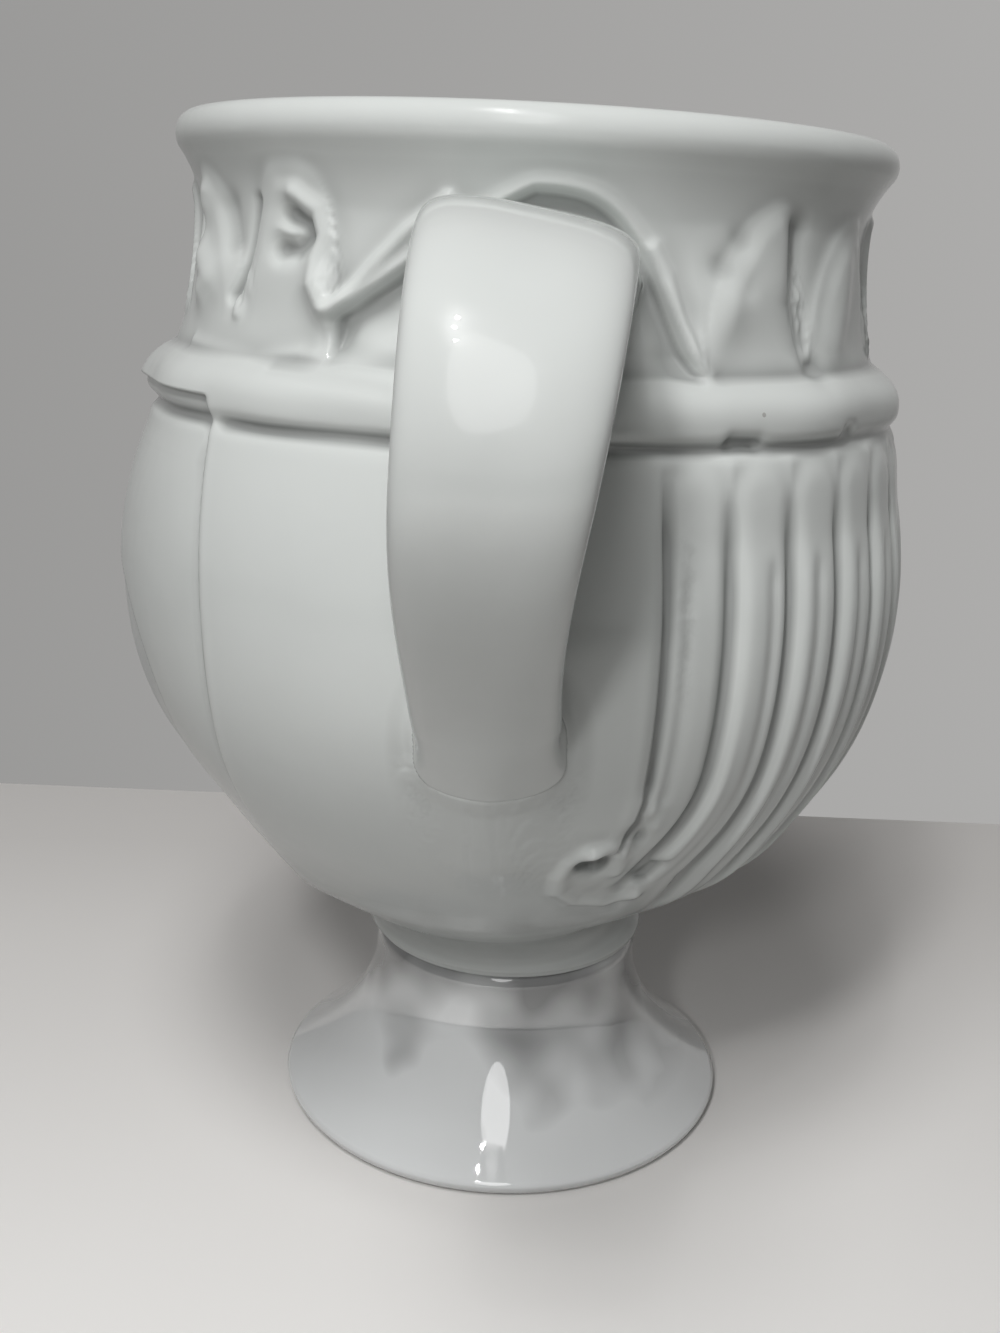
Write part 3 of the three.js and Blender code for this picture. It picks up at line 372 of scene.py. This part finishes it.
def marks_relief(azimuth, z, radius):
    out = np.zeros_like(azimuth)
    stretch = np.hypot(1, slope(z))
    for points, height, width in MARKS:
        lows = np.min(points, axis=0) - MARK_MARGIN
        highs = np.max(points, axis=0) + MARK_MARGIN
        near = (azimuth > lows[0]) & (azimuth < highs[0]) & (z > lows[1]) & (z < highs[1])
        if not near.any():
            continue
        a, h, r, s = azimuth[near], z[near], radius[near], stretch[near]
        best = np.full(a.shape, FAR)
        for (a0, z0), (a1, z1) in zip(points[:-1], points[1:]):
            x, y = np.radians(a - a0) * r, (h - z0) * s
            dx, dy = np.radians(a1 - a0) * r, (z1 - z0) * s
            t = np.clip((x * dx + y * dy) / (dx * dx + dy * dy), 0, 1)
            best = np.minimum(best, np.hypot(x - t * dx, y - t * dy))
        out[near] += height * bell(best, width)
    return out


def bowl_radius(start, z):
    """The glazed surface's radius over arrays of column starts and heights."""
    azimuth = wrap(leaned(start, z))
    radius = softened(z)
    share = np.clip((z - COLLAR_TOP) / (FLARE_Z - COLLAR_TOP), 0, 1)
    relief = -BOWL_WARP * np.sin(np.radians(azimuth)) * np.sin(np.pi * share)
    relief += np.where(np.abs(z - BELT_FULL_Z) < 2 * BELT_ABOVE, belt_relief(azimuth, z), 0)
    on_neck = (z > BELT_FULL_Z) & (z < FLARE_Z)
    if on_neck.any():
        relief[on_neck] += leaf_relief(azimuth[on_neck], z[on_neck], radius[on_neck])
    for at, height, off, turn, reach in TRIMMED:
        relief -= off * bell(wrap(azimuth - at), turn) * bell(z - height, reach)
    lower = panel_relief(start, azimuth, z, radius) + rib_relief(start, z, radius)
    relief += np.where((z > COLLAR_TOP) & (z < SEAM_Z), lower, 0)
    return radius + relief + marks_relief(azimuth, z, radius)


def tilted(azimuth, z):
    share = smooth(z, NECK_Z - 0.5 * (RIM_Z - NECK_Z), RIM_Z)
    return z - RIM_TILT * (1 + np.sin(np.radians(azimuth))) * share


def inner_radius(z):
    floor = BOWL_BOTTOM + BOWL_FLOOR
    wall = turned(z) - WALL * np.hypot(1, slope(z))
    rise = np.clip((z - floor) / FLOOR_ROUND, 0, 1)
    return wall * np.sqrt(1 - (1 - rise) ** 2)


def to_mesh(name, points, faces, **attributes):
    """A smooth mesh from points in millimetres, with a number per point for each attribute."""
    mesh = bpy.data.meshes.new(name)
    mesh.vertices.add(len(points))
    mesh.vertices.foreach_set("co", (np.asarray(points) * MM).ravel())
    mesh.loops.add(faces.size)
    mesh.loops.foreach_set("vertex_index", faces.ravel())
    mesh.polygons.add(len(faces))
    mesh.polygons.foreach_set("loop_start", np.arange(0, faces.size, faces.shape[1]))
    mesh.update(calc_edges=True)
    for key, values in attributes.items():
        made = mesh.attributes.new(key, "FLOAT", "POINT")
        made.data.foreach_set("value", np.asarray(values, float).ravel())
    mesh.validate()
    mesh.polygons.foreach_set("use_smooth", np.ones(len(mesh.polygons), bool))
    piece = bpy.data.objects.new(name, mesh)
    piece.location = AXIS
    bpy.context.scene.collection.objects.link(piece)
    return piece


def ring_faces(rings, sides):
    i, j = np.meshgrid(np.arange(rings - 1), np.arange(sides), indexing="ij")
    k = (j + 1) % sides
    quad = np.stack([i * sides + j, i * sides + k, (i + 1) * sides + k, (i + 1) * sides + j], -1)
    return quad.reshape(-1, 4)


def revolve(name, azimuth, radius, z, **attributes):
    """A mesh from grids of azimuth, radius and height, with one row per ring."""
    turn = np.radians(azimuth)
    points = np.stack([radius * np.sin(turn), -radius * np.cos(turn), z], -1).reshape(-1, 3)
    return to_mesh(name, points, ring_faces(*azimuth.shape), **attributes)


def averaged(grid, rows, columns):
    """A running mean over a grid that closes on itself from side to side."""
    out = sum(np.roll(grid, k, axis=1) for k in range(-columns, columns + 1)) / (2 * columns + 1)
    padded = np.pad(out, ((rows, rows), (0, 0)), "edge")
    return sum(padded[k : k + len(grid)] for k in range(2 * rows + 1)) / (2 * rows + 1)


def make_bowl(strap, reach):
    """The glazed bowl, swollen towards the strap's bare surface where the two are smoothed."""
    starts = RIB_START + np.arange(COLUMNS) * 360 / COLUMNS
    floor = BOWL_BOTTOM + BOWL_FLOOR
    rows = []

    def ring(radius, z):
        heights = np.full(COLUMNS, z)
        azimuth = leaned(starts, heights)
        radius = np.broadcast_to(np.asarray(radius, float), azimuth.shape)
        rows.append((azimuth, radius, tilted(azimuth, heights)))

    ring(POLE, BOWL_BOTTOM)
    ring(COLLAR_RADIUS - COLLAR_EDGE - 1, BOWL_BOTTOM)
    for turn in np.linspace(0, math.pi / 2, EDGE_ROWS):
        z = BOWL_BOTTOM + COLLAR_EDGE * (1 - math.cos(turn))
        ring(COLLAR_RADIUS - COLLAR_EDGE * (1 - math.sin(turn)), z)
    heights, z = [], BOWL_BOTTOM + COLLAR_EDGE
    for top, count in OUTER_ROWS:
        heights.append(np.linspace(z, top, count // FINE)[1:])
        z = top
    heights = np.concatenate(heights)
    grid_starts, grid_z = np.meshgrid(starts, heights)
    outside = bowl_radius(grid_starts, grid_z)
    turn = np.radians(leaned(grid_starts, grid_z))
    steep = np.hypot(1, slope(grid_z))
    around = np.stack([np.sin(turn), -np.cos(turn), np.zeros_like(turn)], -1)
    points = around * outside[..., None] + np.array([0, 0, 1]) * grid_z[..., None]
    outward = (around * steep[..., None]).reshape(-1, 3)
    outside += fillet(points.reshape(-1, 3), outward, strap, reach).reshape(outside.shape) * steep
    first = len(rows)
    for z, radius in zip(heights, outside):
        ring(radius, z)
    for turn in np.linspace(-LIP_TURN, math.pi, LIP_ROWS)[1:-1]:
        radius = LIP_RADIUS - LIP_WALL / 2 + LIP_WALL / 2 * math.cos(turn)
        ring(radius, LIP_Z + LIP_ROUND * math.sin(turn))
    wall = np.linspace(LIP_Z, floor + FLOOR_ROUND, INNER_ROWS)
    bend = floor + FLOOR_ROUND * (1 - np.linspace(0, 1, FLOOR_ROWS)[1:-1]) ** 2
    for z in np.concatenate([wall, bend]):
        ring(inner_radius(np.array(z)), z)
    ring(POLE, floor)
    azimuth, radius, z = (np.array(part) for part in zip(*rows))
    # How far the surface lies under its mean height. The glaze makes this pooled glaze with painted
    # shade in the hollows, and painted light on the crests.
    pooled = np.zeros(azimuth.shape)
    pooled[first : first + len(heights)] = averaged(outside, POOL_SHADE_ROWS, POOL_SHADE_COLUMNS) - outside
    peel = bell(wrap(azimuth) - PEEL_AT, PEEL_WIDTH)
    peel *= smooth(z, *PEEL_BEGINS) * (1 - smooth(z, *PEEL_ENDS))
    return revolve("glazed_bowl", azimuth, radius, z, pooled=pooled, peel=peel)


def foot_radius(z):
    share = np.clip(1 - (z - FOOT_EDGE) / (FOOT_HEIGHT - FOOT_EDGE), 0, 1)
    return FOOT_TOP_RADIUS + (FOOT_RADIUS - FOOT_TOP_RADIUS) * share**FOOT_FLARE


def make_foot():
    inner = REST_RADIUS - REST_WIDTH
    profile = [(POLE, FOOT_HOLLOW)]
    for share in np.linspace(*FOOT_HOLLOW_SHARES, FOOT_HOLLOW_ROWS):
        profile.append((inner * (1 - share) ** FOOT_HOLLOW_CURVE, FOOT_HOLLOW * share))
    profile.append((inner + REST_BEVEL, 0.0))
    for turn in np.linspace(-math.pi / 2, 0, FOOT_EDGE_ROWS):
        radius = REST_RADIUS + (FOOT_RADIUS - REST_RADIUS) * math.cos(turn)
        profile.append((radius, FOOT_EDGE * (1 + math.sin(turn))))
    for z in np.linspace(FOOT_EDGE, FOOT_HEIGHT, FOOT_ROWS)[1:]:
        profile.append((float(foot_radius(z)), z))
    for inset, z in FOOT_TUCK:
        profile.append((FOOT_TOP_RADIUS - inset, z))
    profile.append((POLE, z))
    profile = np.array(profile)
    azimuth = np.tile(np.arange(FOOT_SIDES) * 360 / FOOT_SIDES, (len(profile), 1))
    radius, z = (np.tile(profile[:, [k]], (1, FOOT_SIDES)) for k in (0, 1))
    return revolve("glazed_foot", azimuth, radius, z)


def bezier(p, t):
    t = t[:, None]
    s = 1 - t
    return s**3 * p[0] + 3 * s**2 * t * p[1] + 3 * s * t**2 * p[2] + t**3 * p[3]


def strap_line(count):
    """Middle line of the strap, sampled evenly along its length."""
    reach = -(SEAM_RADIUS + STRAP_REACH)
    root_z, low_z = RIM_Z - STRAP_TOP_DROP, RIM_Z - STRAP_LOW_DROP
    root_y, low_y = (-(float(turned(z)) - ROOT_DEPTH) for z in (root_z, low_z))
    elbow = np.array([STRAP_DRIFT * ELBOW_DRIFT, reach, RIM_Z - STRAP_ELBOW_DROP])
    upper = [
        [0, root_y, root_z - UPPER_ROOT_SAG],
        [UPPER_DRIFTS[0] * STRAP_DRIFT, reach + STRAP_PULL * (root_y - reach), root_z + STRAP_RISE],
        [UPPER_DRIFTS[1] * STRAP_DRIFT, reach, root_z + UPPER_RISE * STRAP_RISE],
        elbow,
    ]
    fall = elbow[2] - low_z
    lower = [
        elbow,
        [STRAP_DRIFT, reach, elbow[2] - LOWER_FALLS[0] * fall],
        [STRAP_DRIFT, reach + LOWER_PULL * (low_y - reach), low_z + LOWER_FALLS[1] * fall],
        [STRAP_DRIFT * LOW_DRIFT, low_y, low_z - ROOT_DEPTH],
    ]
    t = np.linspace(0, 1, STRAP_SAMPLES)
    curves = [bezier(np.array(upper, float), t), bezier(np.array(lower, float), t)[1:]]
    dense = np.vstack(curves)
    length = np.concatenate([[0], np.cumsum(np.linalg.norm(np.diff(dense, axis=0), axis=1))])
    # The lower end goes straight on, so that it lies buried in the bowl.
    onward = dense[-1] - dense[-2]
    dense = np.vstack([dense, dense[-1] + LOWER_ROOT_BURIED * onward / np.linalg.norm(onward)])
    length = np.append(length, length[-1] + LOWER_ROOT_BURIED)
    share = np.linspace(0, length[-1] / length[-2], count)
    line = np.stack([np.interp(share * length[-2], length, dense[:, k]) for k in range(3)], -1)
    return share, line


def strap_surface():
    """The strap's bare sections, those with their roots swollen into the bowl, and the reach."""
    share, line = strap_line(STRAP_RINGS)
    tangent = np.gradient(line, axis=0)
    tangent /= np.linalg.norm(tangent, axis=1, keepdims=True)
    side = np.array([1.0, 0, 0]) - tangent * tangent[:, :1]
    side /= np.linalg.norm(side, axis=1, keepdims=True)
    twist = np.radians(STRAP_TWIST) * (1 - smooth(share, *TWIST_ENDS))
    out = np.cross(tangent, side)
    side, out = (
        side * np.cos(twist)[:, None] + out * np.sin(twist)[:, None],
        out * np.cos(twist)[:, None] - side * np.sin(twist)[:, None],
    )
    flare = UPPER_ROOT_FLARE * np.clip(1 - share / ROOT_FLARE_LENGTH, 0, 1) ** 2
    end = np.clip(1 - (1 - share) / ROOT_FLARE_LENGTH, 0, 1)
    width = STRAP_WIDTH_TOP + (STRAP_WIDTH_LOW - STRAP_WIDTH_TOP) * smooth(share, *TAPER_ENDS)
    width = width + flare - LOWER_ROOT_TAPER * end
    thickness = STRAP_THICKNESS + flare - LOWER_ROOT_THIN * end**2
    angle = np.linspace(0, 2 * math.pi, STRAP_SIDES, endpoint=False)
    power = 2 / STRAP_ROUNDNESS
    across = np.sign(np.cos(angle)) * np.abs(np.cos(angle)) ** power
    through = np.sign(np.sin(angle)) * np.abs(np.sin(angle)) ** power

    def section(sideways, outwards):
        return side[:, None, :] * sideways[..., None] + out[:, None, :] * outwards[..., None]

    wide, thick = width[:, None], thickness[:, None]
    points = line[:, None, :] + section(across * wide / 2, through * thick / 2)
    weights = np.stack([np.abs(across), np.maximum(through, 0), np.maximum(-through, 0)]) ** 2
    weights /= weights.sum(axis=0)
    lower = smooth(share, *ROOTS_CHANGE)[:, None]
    reach = (1 - lower) * np.dot(UPPER_FILLET, weights) + lower * np.dot(LOWER_FILLET, weights)
    normal = section(across * np.abs(across) / wide, through * np.abs(through) / thick)
    normal /= np.linalg.norm(normal, axis=2, keepdims=True)

    def clear(moved):
        place = points + normal * moved[..., None]
        azimuth = np.degrees(np.arctan2(place[..., 0], -place[..., 1]))
        gap = np.hypot(place[..., 0], place[..., 1]) - bowl_radius(azimuth, place[..., 2])
        return gap / np.hypot(1, slope(place[..., 2]))

    return points, points + normal * swell(clear, reach)[..., None], reach


def swell(clear, reach):
    """How far a surface swells out where it is smoothed into another piece.

    Clear gives the distance left to that piece from the surface moved out by some length.
    """
    moved = np.zeros(reach.shape)
    for _ in range(SWELL_STEPS):
        bulge = np.maximum(reach - np.abs(clear(moved) - moved), 0) ** 2 / (4 * reach)
        moved = (moved + bulge) / 2
    return moved


def fillet(points, outward, strap, reach):
    """How far the bowl's surface swells out towards the strap's roots, along its normal."""
    quads = ring_faces(len(strap), STRAP_SIDES)
    tree = BVHTree.FromPolygons(strap.reshape(-1, 3).tolist(), quads.tolist())
    low, high = strap.min(axis=(0, 1)) - FILLET_SEARCH, strap.max(axis=(0, 1)) + FILLET_SEARCH
    near = np.flatnonzero(np.all((points > low) & (points < high), axis=1))
    hits = [tree.find_nearest(points[k].tolist(), FILLET_SEARCH) for k in near]
    near = near[[index is not None for _, _, index, _ in hits]]
    own = np.array([reach.ravel()[quads[index][0]] for _, _, index, _ in hits if index is not None])

    def clear(moved):
        gaps = []
        for place in (points[near] + outward[near] * moved[:, None]).tolist():
            surface, normal, _, distance = tree.find_nearest(place)
            gaps.append(-distance if (Vector(place) - surface).dot(normal) < 0 else distance)
        return np.array(gaps)

    out = np.zeros(len(points))
    out[near] = swell(clear, own)
    return out


def strap_piece(points):
    """The strap's mesh, with both ends closed."""
    caps = [np.tile(points[k].mean(0), (1, STRAP_SIDES, 1)) for k in (0, -1)]
    rings = np.concatenate([caps[0], points, caps[1]])
    return to_mesh("glazed_handle", rings.reshape(-1, 3), ring_faces(len(rings), STRAP_SIDES))


class Nodes:
    """The nodes of one material or world. An input is given as a number, a colour or a socket."""

    def __init__(self, owner):
        owner.use_nodes = True
        self.nodes, self.links = owner.node_tree.nodes, owner.node_tree.links

    def feed(self, socket, value):
        if isinstance(value, bpy.types.NodeSocket):
            self.links.new(value, socket)
        elif isinstance(value, tuple):
            socket.default_value = (*value, 1)
        else:
            socket.default_value = value

    def place(self, kind):
        return self.nodes.new("ShaderNodeTexCoord").outputs[kind]

    def axis(self, vector, name):
        made = self.nodes.new("ShaderNodeSeparateXYZ")
        self.feed(made.inputs["Vector"], vector)
        return made.outputs[name]

    def attribute(self, name):
        made = self.nodes.new("ShaderNodeAttribute")
        made.attribute_name = name
        return made.outputs["Fac"]

    def noise(self, scale, detail=2.0, place=None):
        made = self.nodes.new("ShaderNodeTexNoise")
        self.feed(made.inputs["Scale"], scale)
        self.feed(made.inputs["Detail"], detail)
        if place is not None:
            self.feed(made.inputs["Vector"], place)
        return made.outputs["Fac"]

    def ranged(self, value, *ends):
        """The value carried over from the first two ends to the last two."""
        made = self.nodes.new("ShaderNodeMapRange")
        self.feed(made.inputs["Value"], value)
        for key, number in zip(("From Min", "From Max", "To Min", "To Max"), ends):
            self.feed(made.inputs[key], number)
        return made.outputs["Result"]

    def mixed(self, factor, below, above, kind="RGBA"):
        made = self.nodes.new("ShaderNodeMix")
        made.data_type = kind
        for key, value in (("Factor", factor), ("A", below), ("B", above)):
            self.feed(made.inputs[key], value)
        return made.outputs["Result"]

    def combined(self, kind, *values):
        made = self.nodes.new("ShaderNodeMath")
        made.operation = kind
        for socket, value in zip(made.inputs, values):
            self.feed(socket, value)
        return made.outputs["Value"]

    def bump(self, height, strength, distance, below=None):
        made = self.nodes.new("ShaderNodeBump")
        self.feed(made.inputs["Strength"], strength)
        self.feed(made.inputs["Distance"], distance)
        self.feed(made.inputs["Height"], height)
        if below is not None:
            self.feed(made.inputs["Normal"], below)
        return made.outputs["Normal"]


# The glaze. Noise is given as scale and detail, and a bump as strength and distance in metres.
CLOUDS, CLOUD_RANGE, CLOUD_DARK, CLOUD_LIGHT = (28, 3), (0.3, 0.7), 0.95, 1.03
RIPPLES, RIPPLE_BUMP = 130, (0.25, 0.0004)
# Where the surface lies under or over its mean height: from and to in millimetres, how much of the
# tone is mixed in, and the tone against the glaze's own colour.
# Darker in the hollows is partly pooled glaze and partly painted shade; lighter on the crests is
# painted light.
HOLLOWS, HOLLOW_SHARE, HOLLOW_TONE = (0.04, 0.6), 0.85, 0.5
CRESTS, CREST_SHARE, CREST_TONE = (-0.1, -0.6), 0.5, 1.1
SPECKLE, SPECKLE_RANGE, SPECKLE_SHARE, SPECKLE_TONE = (620, 3), (0.3, 0.75), 0.35, 0.55
SPECKLE_BUMP = (0.5, 0.0003)
# The foot darkens towards its top: partly smoky glaze, partly painted shade under the collar.
SMOKE_SHADE_Z, SMOKE_SHADE_TONE = (0.011, 0.021), 0.22  # metres above the table
SMOKE_SHADE_DRIFT = (0.35, 0.65, -0.008, 0.006)
SMOKE_SHADE_NOISE, SHINE_NOISE, SHINE_RANGE, SHINE_SPREAD = (55, 2), (45, 2), (0.3, 0.7), (0.8, 1.25)
PINHOLES, PINHOLE_CHOICE, PINHOLE_SIZE, PINHOLE_SHARE = 210, 0.93, 0.05, 0.5
PINHOLE_COLOR = (0.2, 0.18, 0.16)
GLAZE_IOR, COAT_ROUGHNESS = 1.5, 0.03


def glaze(name, color, roughness, relief=False, smoke_and_shade=0.0, coat=0.0, coat_ior=GLAZE_IOR):
    """White tin glaze over clay, faintly cloudy, rippled and speckled, with pooling and painted
    shade in hollows.
    """
    material = bpy.data.materials.new(name)
    tree = Nodes(material)
    shader = tree.nodes["Principled BSDF"].inputs
    place = tree.place("Object")

    def toned(share):
        return tuple(min(1, c * share) for c in color)

    cloud = tree.ranged(tree.noise(*CLOUDS, place), *CLOUD_RANGE, 0, 1)
    tone = tree.mixed(cloud, toned(CLOUD_DARK), toned(CLOUD_LIGHT))
    normal = tree.bump(tree.noise(RIPPLES, place=place), *RIPPLE_BUMP)
    if relief:
        # Hollows darker from pooled glaze and painted shade; crests lighter as painted light.
        pool = tree.attribute("pooled")
        tone = tree.mixed(tree.ranged(pool, *HOLLOWS, 0, HOLLOW_SHARE), tone, toned(HOLLOW_TONE))
        tone = tree.mixed(tree.ranged(pool, *CRESTS, 0, CREST_SHARE), tone, toned(CREST_TONE))
        rough = tree.combined("MULTIPLY", tree.attribute("peel"), tree.noise(*SPECKLE, place))
        speckled = tree.ranged(rough, *SPECKLE_RANGE, 0, SPECKLE_SHARE)
        tone = tree.mixed(speckled, tone, toned(SPECKLE_TONE))
        normal = tree.bump(rough, *SPECKLE_BUMP, normal)
    # Painted shade with smoky glaze: darker towards the foot's top under the collar.
    if smoke_and_shade:
        drift = tree.ranged(tree.noise(*SMOKE_SHADE_NOISE, place), *SMOKE_SHADE_DRIFT)
        height = tree.combined("ADD", tree.axis(place, "Z"), drift)
        tone = tree.mixed(tree.ranged(height, *SMOKE_SHADE_Z, 0, smoke_and_shade), tone, toned(SMOKE_SHADE_TONE))
    cells = tree.nodes.new("ShaderNodeTexVoronoi")
    tree.feed(cells.inputs["Scale"], PINHOLES)
    tree.feed(cells.inputs["Vector"], place)
    chosen = tree.combined("GREATER_THAN", cells.outputs["Color"], PINHOLE_CHOICE)
    hole = tree.combined("LESS_THAN", cells.outputs["Distance"], PINHOLE_SIZE)
    hole = tree.combined("MULTIPLY", tree.combined("MULTIPLY", chosen, hole), PINHOLE_SHARE)
    tree.feed(shader["Base Color"], tree.mixed(hole, tone, PINHOLE_COLOR))
    ends = [roughness * share for share in SHINE_SPREAD]
    shine = tree.ranged(tree.noise(*SHINE_NOISE, place), *SHINE_RANGE, *ends)
    tree.feed(shader["Roughness"], shine)
    tree.feed(shader["Normal"], normal)
    shader["IOR"].default_value = GLAZE_IOR
    shader["Coat IOR"].default_value = coat_ior
    shader["Coat Weight"].default_value = coat
    shader["Coat Roughness"].default_value = COAT_ROUGHNESS
    return material


# Painted light on the table's top: its colour changes from a lit front to a shaded back, between
# two Y in metres.
FRONT_LIT_COLOR, BACK_SHADED_COLOR, COLOR_CHANGE = (1.0, 0.985, 0.965), (0.70, 0.68, 0.66), (-0.1, 0.1)
GRAIN_SCALE, GRAIN_SHARE = 9, 0.2
BOUNCE = 0.38  # how much of its light the table gives back to the mug
TABLE_ROUGHNESS, TABLE_SPECULAR = 0.55, 0.2


def painted(name):
    """A painted surface with a faint grain, and painted shade that darkens it towards the back."""
    material = bpy.data.materials.new(name)
    tree = Nodes(material)
    shader = tree.nodes["Principled BSDF"].inputs
    # Painted light and shade: lighter at the front, darker towards the back.
    share = tree.ranged(tree.axis(tree.place("Object"), "Y"), *COLOR_CHANGE, 0, 1)
    share = tree.combined("MULTIPLY_ADD", tree.noise(GRAIN_SCALE), GRAIN_SHARE, share)
    color = tree.mixed(share, FRONT_LIT_COLOR, BACK_SHADED_COLOR)
    diffuse = tree.nodes.new("ShaderNodeLightPath").outputs["Is Diffuse Ray"]
    bounced = tuple(c * BOUNCE for c in FRONT_LIT_COLOR)
    tree.feed(shader["Base Color"], tree.mixed(diffuse, color, bounced))
    shader["Roughness"].default_value = TABLE_ROUGHNESS
    shader["Specular IOR Level"].default_value = TABLE_SPECULAR
    return material


WHITE, FOOT_WHITE = (0.59, 0.61, 0.595), (0.76, 0.775, 0.775)
bare_strap, swollen_strap, fillet_reach = strap_surface()
bowl = make_bowl(bare_strap, fillet_reach)
foot = make_foot()
strap = strap_piece(swollen_strap)
for piece, nodes, slot in (
    (bowl, ("bowl",), "bowl"),
    (foot, ("pedestal_foot", "foot_slip_joint"), "foot"),
    (strap, ("strap_handle", "upper_handle_slip_joint", "lower_handle_slip_joint"), "handle"),
):
    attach(piece, "root")
    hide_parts(*nodes)
bowl.data.materials.append(glaze("bowl_glaze", WHITE, 0.15, relief=True))
# The foot's glaze gets painted shade with smoke towards its top under the collar.
foot_glaze = glaze("foot_glaze", FOOT_WHITE, 0.05, smoke_and_shade=0.95, coat=1.0, coat_ior=1.9)
foot.data.materials.append(foot_glaze)
strap.data.materials.append(glaze("handle_glaze", WHITE, 0.2, coat=0.5))

TABLE_BACK, TABLE_SIDE = AXIS.y + 0.0995, 2
corners = [
    (-TABLE_SIDE, -TABLE_SIDE, 0),
    (TABLE_SIDE, -TABLE_SIDE, 0),
    (TABLE_SIDE, TABLE_BACK, 0),
    (-TABLE_SIDE, TABLE_BACK, 0),
]
table_mesh = bpy.data.meshes.new("table")
table_mesh.from_pydata(corners, [], [(0, 1, 2, 3)])
table_mesh.materials.append(painted("table_top"))
table = bpy.data.objects.new("table", table_mesh)
bpy.context.scene.collection.objects.link(table)
# Lamps: name, azimuth from the camera's side, elevation, distance, size and power. The soft ones
# stand for room light, which shows no sharp image in the glaze. The others are mirrored in it.
SOFT_LAMPS = [
    ("high", -16, 65, 0.5, (0.17, 0.17), 0.97),
    ("middle", -17, 42, 0.5, (0.06, 0.06), 0.68),
    ("low", -15, 22, 0.5, (0.06, 0.06), 0.43),
    ("side", 115, 40, 1.2, (0.5, 0.5), 0.55),
    ("back", 200, 30, 0.9, (0.7, 0.7), 0.8),
]
MIRRORED_LAMPS = [
    ("strip", -2, 38, 0.5, (0.14, 0.40), 0.27),
    ("bulb", -14, 66, 0.5, (0.016, 0.016), 0.05),
    ("bulb", -14, 61, 0.5, (0.016, 0.016), 0.05),
    ("bulb", -11, 55, 0.5, (0.016, 0.016), 0.05),
]
LAMP_AIM = AXIS + Vector((0, 0, 0.07))


def lamp(mirrored, name, azimuth, elevation, distance, size, power):
    light = bpy.data.lights.new(name, "AREA")
    light.shape = "ELLIPSE"
    light.size, light.size_y = size
    light.energy = power
    made = bpy.data.objects.new(name, light)
    a, e = math.radians(azimuth), math.radians(elevation)
    toward = Vector((math.sin(a) * math.cos(e), -math.cos(a) * math.cos(e), math.sin(e)))
    made.visible_glossy = mirrored
    made.location = LAMP_AIM + distance * toward
    made.rotation_euler = (LAMP_AIM - made.location).to_track_quat("-Z", "Y").to_euler()
    bpy.context.scene.collection.objects.link(made)


for settings in SOFT_LAMPS:
    lamp(False, *settings)
for settings in MIRRORED_LAMPS:
    lamp(True, *settings)

# The room gives a little light from all sides. What is seen past the table is a pale wall, a bit
# brighter on the right.
ROOM_LIGHT, ROOM_COLOR = 0.028, (1.0, 0.99, 0.975)
WALL_ENDS, WALL_LIGHT = (-0.35, 0.35), (0.325, 0.42)
world = bpy.data.worlds.new("room")
room = Nodes(world)
wall = room.ranged(room.axis(room.place("Generated"), "X"), *WALL_ENDS, *WALL_LIGHT)
path = room.nodes.new("ShaderNodeLightPath").outputs
mirrored = room.combined("MAXIMUM", path["Is Glossy Ray"], path["Is Transmission Ray"])
shown = room.combined("MAXIMUM", path["Is Camera Ray"], mirrored)
background = room.nodes["Background"].inputs
room.feed(background["Strength"], room.mixed(shown, ROOM_LIGHT, wall, "FLOAT"))
room.feed(background["Color"], ROOM_COLOR)
bpy.context.scene.world = world

# The camera stands where the photograph was taken from.
PITCH, YAW, ROLL = math.radians(16.60), math.radians(-0.69), math.radians(-2.10)
CAMERA_BACK, CAMERA_HEIGHT = 0.1792, 0.1137
FOCAL_PIXELS, PHOTO_PIXELS, SENSOR = 1400, 1333, 36
flat = math.cos(PITCH)
forward = Vector((math.sin(YAW) * flat, math.cos(YAW) * flat, -math.sin(PITCH)))
level = Vector((math.cos(YAW), -math.sin(YAW), 0))
upright = level.cross(forward)
right = math.cos(ROLL) * level - math.sin(ROLL) * upright
up = math.sin(ROLL) * level + math.cos(ROLL) * upright
camera = bpy.data.objects.new("camera", bpy.data.cameras.new("camera"))
camera.data.sensor_width = SENSOR
camera.data.lens = FOCAL_PIXELS / PHOTO_PIXELS * SENSOR
camera.data.clip_start = 0.01
camera.matrix_world = Matrix(
    [
        (right.x, up.x, -forward.x, AXIS.x),
        (right.y, up.y, -forward.y, AXIS.y - CAMERA_BACK),
        (right.z, up.z, -forward.z, CAMERA_HEIGHT),
        (0, 0, 0, 1),
    ]
)
bpy.context.scene.collection.objects.link(camera)
bpy.context.scene.camera = camera
bpy.context.scene.view_settings.view_transform = "Standard"
